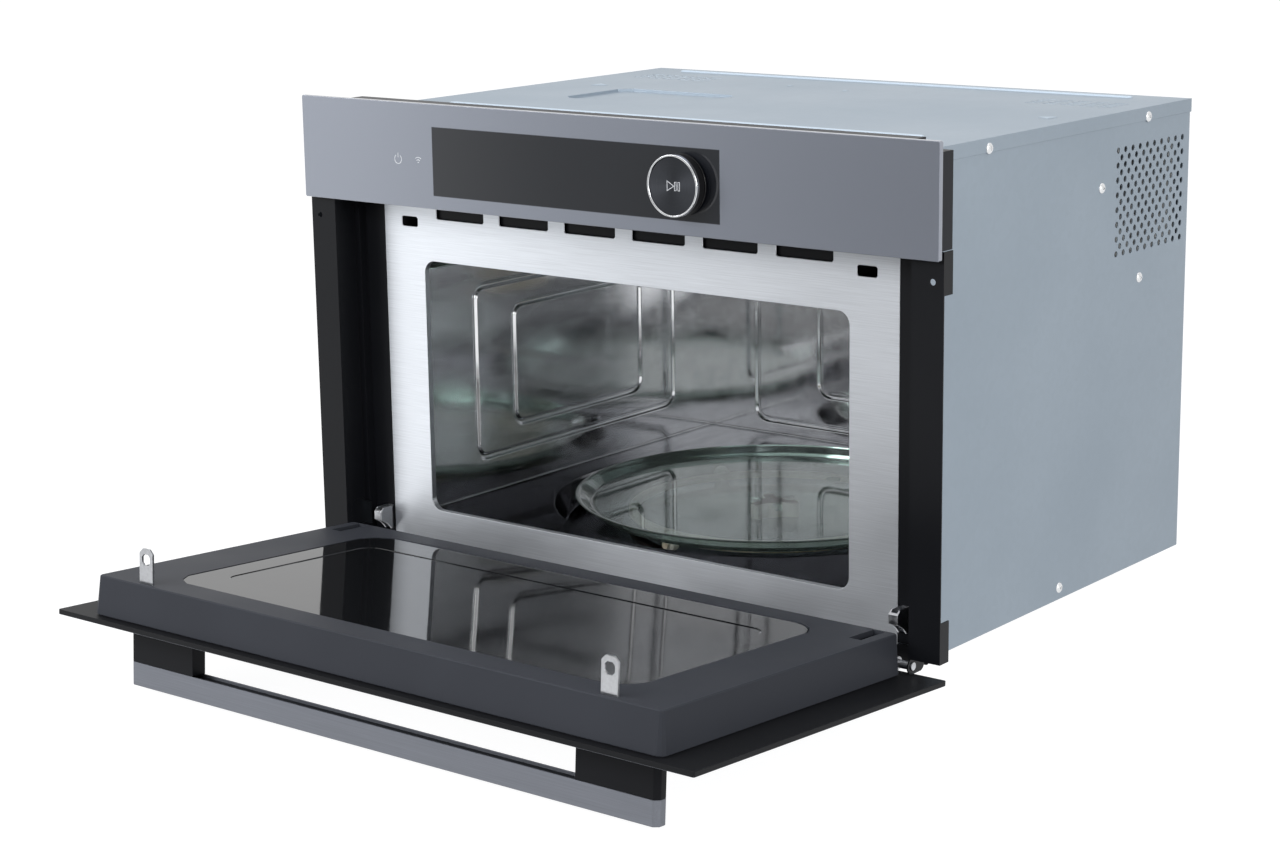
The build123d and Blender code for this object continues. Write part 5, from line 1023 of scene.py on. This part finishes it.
# %% Lamp holes and finish of the walls
lamp_x, lamp_y, lamp_pitch = -0.060, -0.118, 0.0064
punch = make_punch("lamp_punch", 0.002, 0.004)
spots = [Matrix.Translation((lamp_x + i * lamp_pitch, lamp_y + j * lamp_pitch, 0.2465))
         for i in (-1, 0, 1) for j in (-1, 0, 1)]
cut(cavity, repeat(punch, spots))
settle(cavity, "cavity_steel", ("cavity_wrap",), angle=60)
print("cavity walls:", len(cavity.data.polygons), "faces")

# %% [markdown]
# The rear wall is pressed in the same way, and the floor has a round recess for the roller ring.
# The recess starts from a circle, whose face is inset with a depth again and again: a rounded lip,
# a sloping side, a rounded foot and the flat bottom with the hole for the motor's stem.

# %% Rear wall
back = start_piece("cavity_rear")
back_border = ((-wall_x, wall_low), (wall_x, ceiling_z))
pressed_wall("-Y", rear_y, back_border, [(0.310, 0.186, 0.014), (0.174, 0.128, 0.014)])
close_edit()
thicken(back, sheet_t)
settle(back, "cavity_steel", ("cavity_back",), angle=60)
print("rear wall:", len(back.data.polygons), "faces")

# %% Floor with its recess
floor_sheet = start_piece("cavity_bottom")
recess_mid = (0, mid_y, wall_low)
bpy.ops.mesh.primitive_circle_add(vertices=120, radius=0.180, fill_type="NGON",
                                  location=recess_mid, rotation=(0, 0, math.radians(1.5)))
press([(0.0008, -0.0002), (0.0008, -0.0010), (0.0068, -0.0150), (0.0010, -0.0018),
       (0.0020, -0.0010), (0.150, 0)])
press([(0.0136, 0)])
bpy.ops.mesh.delete(type="FACE")
widen("Z", recess_mid, (0.360, 0.360, 0.180), (0.425, 0.375, 0), (0, -0.0025, wall_low))
bpy.ops.mesh.select_all(action="SELECT")
bpy.ops.mesh.remove_doubles(threshold=0.00005)
bpy.ops.mesh.normals_make_consistent(inside=False)
close_edit()
if floor_sheet.data.polygons[0].normal.z < 0:
    floor_sheet.data.flip_normals()
thicken(floor_sheet, sheet_t)
settle(floor_sheet, "cavity_steel", ("cavity_floor",), angle=50, finish=floor_polished)
print("floor:", [round(v, 4) for v in floor_sheet.dimensions])

# %% [markdown]
# Where the floor meets the walls, its edge is folded up a little and runs along the wall's foot
# as a low rounded seam. It catches a fine line of light. Three bars with bevelled edges make it.

# %% Seam of the floor
seam = 0.0014
bars = [flat_sheet("seam_left", (-wall_x, front_y + 0.001, wall_low - 0.0002),
                   (seam - wall_x, rear_y, wall_low + seam), 1, seam / 2.2),
        flat_sheet("seam_right", (wall_x - seam, front_y + 0.001, wall_low - 0.0002),
                   (wall_x, rear_y, wall_low + seam), 1, seam / 2.2),
        flat_sheet("seam_rear", (-wall_x, rear_y - seam, wall_low - 0.0002),
                   (wall_x, rear_y, wall_low + seam), 0, seam / 2.2)]
floor_seam = join("floor_seam", bars)
settle(floor_seam, "cavity_steel")
print("floor seam:", [round(v, 4) for v in floor_seam.dimensions])

# %% [markdown]
# The glass tray is turned: its section is drawn as a line of points and spun about the tray's
# axis. The corners of the section are rounded first, because pressed glass has no sharp corner.
# Three lugs that catch the coupler and three feet stand on its underside.

# %% Glass tray
tray_low, tray_top, rim_top = 0.0366, 0.0416, 0.0492
foot_r, foot_out, lug_out = 0.006, 0.088, 0.017
tray_mid = Matrix.Translation((0, mid_y, 0))
plate = turned("tray", [(0, tray_low), (0.146, tray_low), (0.1625, rim_top), (0.159, rim_top),
                        (0.1490, tray_top), (0, tray_top)], 144, (1, 2, 3, 4), 0.0016)
foot = turned("tray_foot", [(0, tray_low - 0.0012), (foot_r, tray_low - 0.0012),
                            (foot_r, tray_low + 0.0002), (0, tray_low + 0.0002)],
              24, (1,), 0.0008)
feet = repeat(foot, [Matrix.Rotation(math.radians(90 + 120 * i), 4, "Z")
                     @ Matrix.Translation((foot_out, 0, 0)) for i in range(3)])
bpy.ops.mesh.primitive_cube_add(size=1, location=(lug_out, 0, tray_low - 0.0019))
lug = bpy.context.object
lug.name = "tray_lug"
open_edit(lug)
bpy.ops.transform.resize(value=(0.011, 0.006, 0.0042), center_override=lug.location)
bpy.ops.mesh.bevel(offset=0.001, segments=3, affect="EDGES")
close_edit()
bpy.ops.object.transform_apply(location=True)
lugs = repeat(lug, [Matrix.Rotation(math.radians(77 + 120 * i), 4, "Z") for i in range(3)])
tray = join("glass_tray", [plate, feet, lugs])
tray.data.transform(tray_mid)
tray_body = oven["glass_turntable"]["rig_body"]
settle(tray, "tray_glass", ("glass_turntable",), tray_body)
print("tray:", [round(v, 4) for v in tray.dimensions], "rides on", tray_body)

# %% [markdown]
# Under the tray runs a ring with three rollers. Ring, pins and rollers are turned as well. A pin
# and a roller are laid on their side and turned to the three directions of the ring.

# %% Roller ring and rollers
ring_z, axle_z = 0.0303, 0.0303
track_r = 0.126
radial = [Matrix.Rotation(math.radians(a), 4, "Z") @ Matrix.Translation((0, 0, axle_z))
          @ Matrix.Rotation(math.radians(90), 4, "Y") for a in (26, 146, 266)]
band = turned("ring_band", [(0.111, ring_z - 0.0025), (0.118, ring_z - 0.0025),
                            (0.118, ring_z + 0.0025), (0.111, ring_z + 0.0025)],
              120, (0, 1, 2, 3), 0.001, closed=True)
pin = turned("ring_pin", [(0, 0.115), (0.002, 0.115), (0.002, 0.1325), (0.003, 0.1325),
                          (0.003, 0.1337), (0, 0.1337)], 16, (3, 4), 0.0004)
ring = join("ring", [band, repeat(pin, radial)])
ring.data.transform(tray_mid)
settle(ring, "ring_plastic", ("roller_ring",), oven["roller_ring"]["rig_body"])
for number, matrix in enumerate(radial, start=1):
    node = f"roller_{number}"
    wheel = turned(f"wheel_{number}", [(0.00205, track_r - 0.0045), (0.0042, track_r - 0.0045),
                                       (0.0048, track_r - 0.0038), (0.006, track_r - 0.0038),
                                       (0.006, track_r + 0.0038), (0.0048, track_r + 0.0038),
                                       (0.0042, track_r + 0.0045), (0.00205, track_r + 0.0045)],
                   32, (3, 4), 0.0012, closed=True)
    wheel.data.transform(tray_mid @ matrix)
    settle(wheel, "roller_plastic", (node,), oven[node]["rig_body"])
print("ring:", [round(v, 4) for v in ring.dimensions])

# %% [markdown]
# The knob is a gloss black drum with one groove, a bright ring at its edge and a disc of spun
# metal sunk into the ring. All three are turned, with the axis then laid forward.
# A disc that is spun on a lathe keeps fine circles. They stretch each highlight into a pair of
# wedges that meet at the centre, which the shader makes with anisotropy and a radial tangent.

# %% Knob
knob_x, glass_front, knob_z = 0.083, -0.230, 0.3325
knob_place = (Matrix.Translation((knob_x, glass_front, knob_z))
              @ Matrix.Rotation(math.radians(90), 4, "X"))
knob_r = 0.0225
drum = turned("knob_drum", [(0, 0.0016), (knob_r, 0.0016), (knob_r, 0.0029), (0.0211, 0.0029),
                            (0.0211, 0.0039), (knob_r, 0.0039), (knob_r, 0.0100), (0, 0.0100)],
              96, (1, 2, 5), 0.0003)
rim = turned("knob_rim", [(0.0209, 0.0100), (knob_r, 0.0100), (knob_r, 0.0130), (0.0209, 0.0130)],
             96, (2, 3), 0.0006, closed=True)
face = turned("knob_front", [(0, 0.0100), (0.0209, 0.0100), (0.0209, 0.0116), (0.0205, 0.0120),
                             (0, 0.0120)], 96)
spun_face, tree, shader = start_finish("spun_face", (0.05, 0.053, 0.062), 1.0, 0.3)
shader.inputs["Anisotropic"].default_value = 0.85
shader.inputs["Coat Weight"].default_value = 0.4
shader.inputs["Coat Roughness"].default_value = 0.08
around = tree.nodes.new("ShaderNodeTangent")
around.direction_type = "RADIAL"
around.axis = "Y"
tree.links.new(around.outputs["Tangent"], shader.inputs["Tangent"])
from_axis = tree.nodes.new("ShaderNodeVectorMath")
from_axis.operation = "LENGTH"
tree.links.new(place_on(tree, (1, 0, 1), (knob_x, 0, knob_z)), from_axis.inputs[0])
rings = tree.nodes.new("ShaderNodeTexNoise")
rings.noise_dimensions = "1D"
rings.inputs["Scale"].default_value = 2600
tree.links.new(from_axis.outputs["Value"], rings.inputs["W"])
tree.links.new(blend_colours(tree, spread(tree, rings.outputs["Fac"], 0, 1), (0.043, 0.046, 0.054),
                             (0.062, 0.066, 0.076)), shader.inputs["Base Color"])
raise_relief(tree, shader, rings.outputs["Fac"], 0.00002, 0.4)
for piece, slot, node, finish in ((drum, "knob_black", "knob_body", None),
                                  (rim, "knob_chrome", "knob_ring", None),
                                  (face, "knob_face", "knob_disc", spun_face)):
    piece.data.transform(knob_place)
    settle(piece, slot, (node,), oven[node]["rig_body"], angle=30, finish=finish)

# %% [markdown]
# The signs of the panel are thin lines of light print: a power sign, the arcs of a radio signal
# and, on the knob, a triangle and two bars for start and pause.
# A line sign is a ring or an arc of edges that is extruded and drawn in, which leaves a flat band,
# and Solidify gives it the thickness of a print.

# %% Line signs
sign_print = moulded("sign_print", (0.78, 0.80, 0.84), 0.4)
ink_t = 0.00012


def line_sign(name, sides, radius, stroke, keep=None, turn=0):
    """A flat band round a regular outline that faces forward. Keep says which angles stay."""
    bpy.ops.object.select_all(action="DESELECT")
    bpy.ops.mesh.primitive_circle_add(vertices=sides, radius=radius, fill_type="NOTHING",
                                      rotation=(math.radians(90), 0, 0))
    sign = bpy.context.object
    sign.name = name
    bpy.ops.object.transform_apply(rotation=True)
    open_edit(sign)
    bpy.ops.transform.rotate(value=math.radians(turn), orient_axis="Y", center_override=(0, 0, 0))
    if keep:
        pick("verts", lambda v: not keep(math.degrees(math.atan2(v.co.z, v.co.x)) % 360))
        bpy.ops.mesh.delete(type="VERT")
        bpy.ops.mesh.select_all(action="SELECT")
    bpy.ops.mesh.extrude_edges_move()
    inner = 1 - stroke / radius
    bpy.ops.transform.resize(value=(inner, inner, inner), center_override=(0, 0, 0))
    return close_edit()


def bar_sign(name, width, height, place, stroke=0):
    """An upright bar, or with a stroke only its outline."""
    bpy.ops.object.select_all(action="DESELECT")
    bpy.ops.mesh.primitive_plane_add(size=1, rotation=(math.radians(90), 0, 0))
    sign = bpy.context.object
    sign.name = name
    bpy.ops.object.transform_apply(rotation=True)
    open_edit(sign)
    bpy.ops.transform.resize(value=(width, 1, height), center_override=(0, 0, 0))
    if stroke:
        bpy.ops.mesh.inset(thickness=stroke)
        bpy.ops.mesh.delete(type="FACE")
    bpy.ops.mesh.select_all(action="SELECT")
    bpy.ops.transform.translate(value=place)
    return close_edit()


def print_sign(name, parts, place, body, slot):
    sign = join(name, parts)
    open_edit(sign)
    bpy.ops.mesh.normals_make_consistent(inside=False)
    close_edit()
    thicken(sign, ink_t, 0)
    sign.data.transform(Matrix.Translation(place))
    return settle(sign, slot, (), body, finish=sign_print)


power = [line_sign("power_ring", 40, 0.0038, 0.00045, lambda a: not 58 < a < 122),
         bar_sign("power_bar", 0.0004, 0.0036, (0, 0, 0.0031))]
print_y = glass_front - 0.00002
print_sign("power_sign", power, (-0.1945, print_y, 0.3322), "cabinet", "control_glass")
signal = [line_sign(f"arc_{number}", 48, radius, 0.0005, lambda a: 48 < a < 132)
          for number, radius in enumerate((0.0012, 0.0031, 0.0050))]
print_sign("signal_sign", signal, (-0.1733, print_y, 0.3300), "cabinet", "control_glass")
knob_body = oven["knob_disc"]["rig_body"]
start = line_sign("start_sign", 3, 0.0044, 0.0008, turn=-90)
open_edit(start)
bpy.ops.transform.translate(value=(-0.0028, 0, 0))
close_edit()
pause = [bar_sign(f"pause_{number}", 0.0019, 0.0064, (x, 0, 0), 0.00035)
         for number, x in enumerate((0.0026, 0.0056))]
disc_y = print_y - 0.012
print_sign("start_pause_sign", [start] + pause, (knob_x, disc_y, knob_z), knob_body, "knob_face")
print("signs ride on cabinet and", knob_body)

# %% [markdown]
# The oven stands on a low plinth on a pale floor, because the open door and its handle hang a
# little below the base.
# The floor glows just enough to look white to the camera, in reflections and through glass. The
# rest of its white is lamp light, so the oven still throws a soft shadow on it.

# %% A glow that only the camera, reflections and glass see
floor_z = solid_box[0].z - 0.004
floor_glow = 0.94
floor_tone = 0.2


def seen_directly(tree):
    """Value of one for rays from the camera, off a gloss or through glass."""
    rays = tree.nodes.new("ShaderNodeLightPath")
    seen = rays.outputs["Is Camera Ray"]
    for kind in ("Is Glossy Ray", "Is Transmission Ray"):
        seen = combine(tree, "MAXIMUM", seen, rays.outputs[kind])
    return seen


def empty_tree(owner):
    owner.use_nodes = True
    owner.node_tree.nodes.clear()
    return owner.node_tree


def studio_white(name):
    finish = bpy.data.materials.new(name)
    tree = empty_tree(finish)
    out = tree.nodes.new("ShaderNodeOutputMaterial")
    matt = tree.nodes.new("ShaderNodeBsdfDiffuse")
    matt.inputs["Color"].default_value = (floor_tone, floor_tone, floor_tone, 1)
    white = tree.nodes.new("ShaderNodeEmission")
    white.inputs["Color"].default_value = (floor_glow, floor_glow, floor_glow, 1)
    tree.links.new(seen_directly(tree), white.inputs["Strength"])
    both = tree.nodes.new("ShaderNodeAddShader")
    tree.links.new(matt.outputs["BSDF"], both.inputs[0])
    tree.links.new(white.outputs["Emission"], both.inputs[1])
    tree.links.new(both.outputs["Shader"], out.inputs["Surface"])
    return finish


# %% Floor and plinth
pale = studio_white("studio_white")
bpy.ops.object.select_all(action="DESELECT")
bpy.ops.mesh.primitive_plane_add(size=60, location=(0, 0, floor_z))
floor = bpy.context.object
floor.name = "floor"
floor.data.materials.append(pale)
bpy.ops.mesh.primitive_cube_add(size=1, location=(0, 0, 0))
plinth = bpy.context.object
plinth.name = "plinth"
low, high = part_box("base_plate")
plinth.scale = (high.x - low.x - 0.04, high.y - low.y - 0.02, -floor_z - 0.0005)
plinth.location = ((low.x + high.x) / 2, (low.y + high.y) / 2, floor_z / 2 - 0.00025)
plinth.data.materials.append(pale)
print("floor at", round(floor_z, 4))

# %% [markdown]
# Polished steel and glass show what stands around them, so a photographer places screens there.
# One wide screen stands in front of the oven. It is white at its left end and falls off to dark
# grey at its right end, which gives the glasses and the steel of the front their long gradient.
# Only reflections see it: it throws no light and no shadow, and the camera looks through it.

# %% The graded screen in front
def graded_screen(name, centre, width, height, turn, tones):
    bpy.ops.object.select_all(action="DESELECT")
    bpy.ops.mesh.primitive_plane_add(size=1, location=centre,
                                     rotation=(math.radians(90), 0, math.radians(turn)))
    screen = bpy.context.object
    screen.name = name
    screen.scale = (width, height, 1)
    finish = bpy.data.materials.new(name)
    tree = empty_tree(finish)
    out = tree.nodes.new("ShaderNodeOutputMaterial")
    glow = tree.nodes.new("ShaderNodeEmission")
    along = one_axis(tree, place_on(tree), "X")
    ramp = tree.nodes.new("ShaderNodeValToRGB")
    ramp.color_ramp.interpolation = "EASE"
    stops = ramp.color_ramp.elements
    for number, (place, tone) in enumerate(tones):
        stop = stops[number] if number < 2 else stops.new(place)
        stop.position = place
        stop.color = (tone * 0.97, tone * 0.99, tone, 1)
    tree.links.new(spread(tree, along, 0, 1, -0.5, 0.5), ramp.inputs["Fac"])
    tree.links.new(ramp.outputs["Color"], glow.inputs["Color"])
    tree.links.new(glow.outputs["Emission"], out.inputs["Surface"])
    screen.data.materials.append(finish)
    screen.visible_camera = False
    screen.visible_diffuse = False
    screen.visible_transmission = False
    screen.visible_shadow = False
    return screen


graded_screen("front_screen", (-0.75, -1.15, 0.46), 2.2, 1.0, 0,
              ((0.0, 1.3), (1.0, 0.10), (0.3, 1.2), (0.5, 0.5), (0.72, 0.17)))

# %% [markdown]
# The world is white wherever it is seen, and dimmer and a little blue as a light on the oven.
# The lamps are large, so that the shadows and highlights are soft: a key light in front on the
# left, a fill on the right, one that reaches into the cavity and a broad light above.

# %% World
world = bpy.data.worlds.new("studio")
bpy.context.scene.world = world
tree = empty_tree(world)
out = tree.nodes.new("ShaderNodeOutputWorld")
mix = tree.nodes.new("ShaderNodeMixShader")
tree.links.new(seen_directly(tree), mix.inputs["Fac"])
dim, bright = ((0.93, 0.96, 1.0, 1), 0.45), ((1, 1, 1, 1), 1.0)
for socket, (colour, strength) in enumerate((dim, bright), start=1):
    glow = tree.nodes.new("ShaderNodeBackground")
    glow.inputs["Color"].default_value = colour
    glow.inputs["Strength"].default_value = strength
    tree.links.new(glow.outputs["Background"], mix.inputs[socket])
tree.links.new(mix.outputs["Shader"], out.inputs["Surface"])


# %% Lamps
def soft_lamp(name, place, target, width, height, power):
    data = bpy.data.lights.new(name, "AREA")
    data.shape = "RECTANGLE"
    data.size = width
    data.size_y = height
    data.energy = power
    lamp = bpy.data.objects.new(name, data)
    bpy.context.collection.objects.link(lamp)
    lamp.location = place
    lamp.rotation_euler = (Vector(target) - Vector(place)).to_track_quat("-Z", "Y").to_euler()
    return lamp


soft_lamp("key", (-2.6, -2.6, 1.7), (0, -0.1, 0.15), 1.7, 1.4, 62)
soft_lamp("fill", (2.1, -0.9, 0.85), (0.2, 0, 0.15), 1.0, 1.0, 20)
soft_lamp("front", (-0.35, -2.0, 1.0), (0.0, 0.1, 0.12), 0.8, 0.8, 15)
soft_lamp("above", (0.2, 0.1, 2.6), (0, 0, 0.2), 2.2, 2.2, 11)

# %% [markdown]
# The camera stands where the photographer stood: in front on the right and slightly above.

# %% Camera
lens = bpy.data.cameras.new("camera")
lens.sensor_width = 36
lens.lens = 75.4
lens.clip_start = 0.05
camera = bpy.data.objects.new("camera", lens)
bpy.context.collection.objects.link(camera)
camera.location = (1.23844, -1.73946, 0.58971)
forward = Vector((-0.60579, 0.76356, -0.22359))
right = Vector((0.78536, 0.61887, -0.01439))
up = right.cross(forward)
camera.rotation_mode = "QUATERNION"
turn = [[right[i], up[i], -forward[i]] for i in range(3)]
camera.rotation_quaternion = Matrix(turn).to_quaternion()
bpy.context.scene.camera = camera
bpy.context.scene.view_settings.view_transform = "Standard"
print("camera at", tuple(round(v, 3) for v in camera.location))

# %% [markdown]
# At the end the view layer is brought up to date.

# %% Update the view layer
bpy.context.view_layer.update()
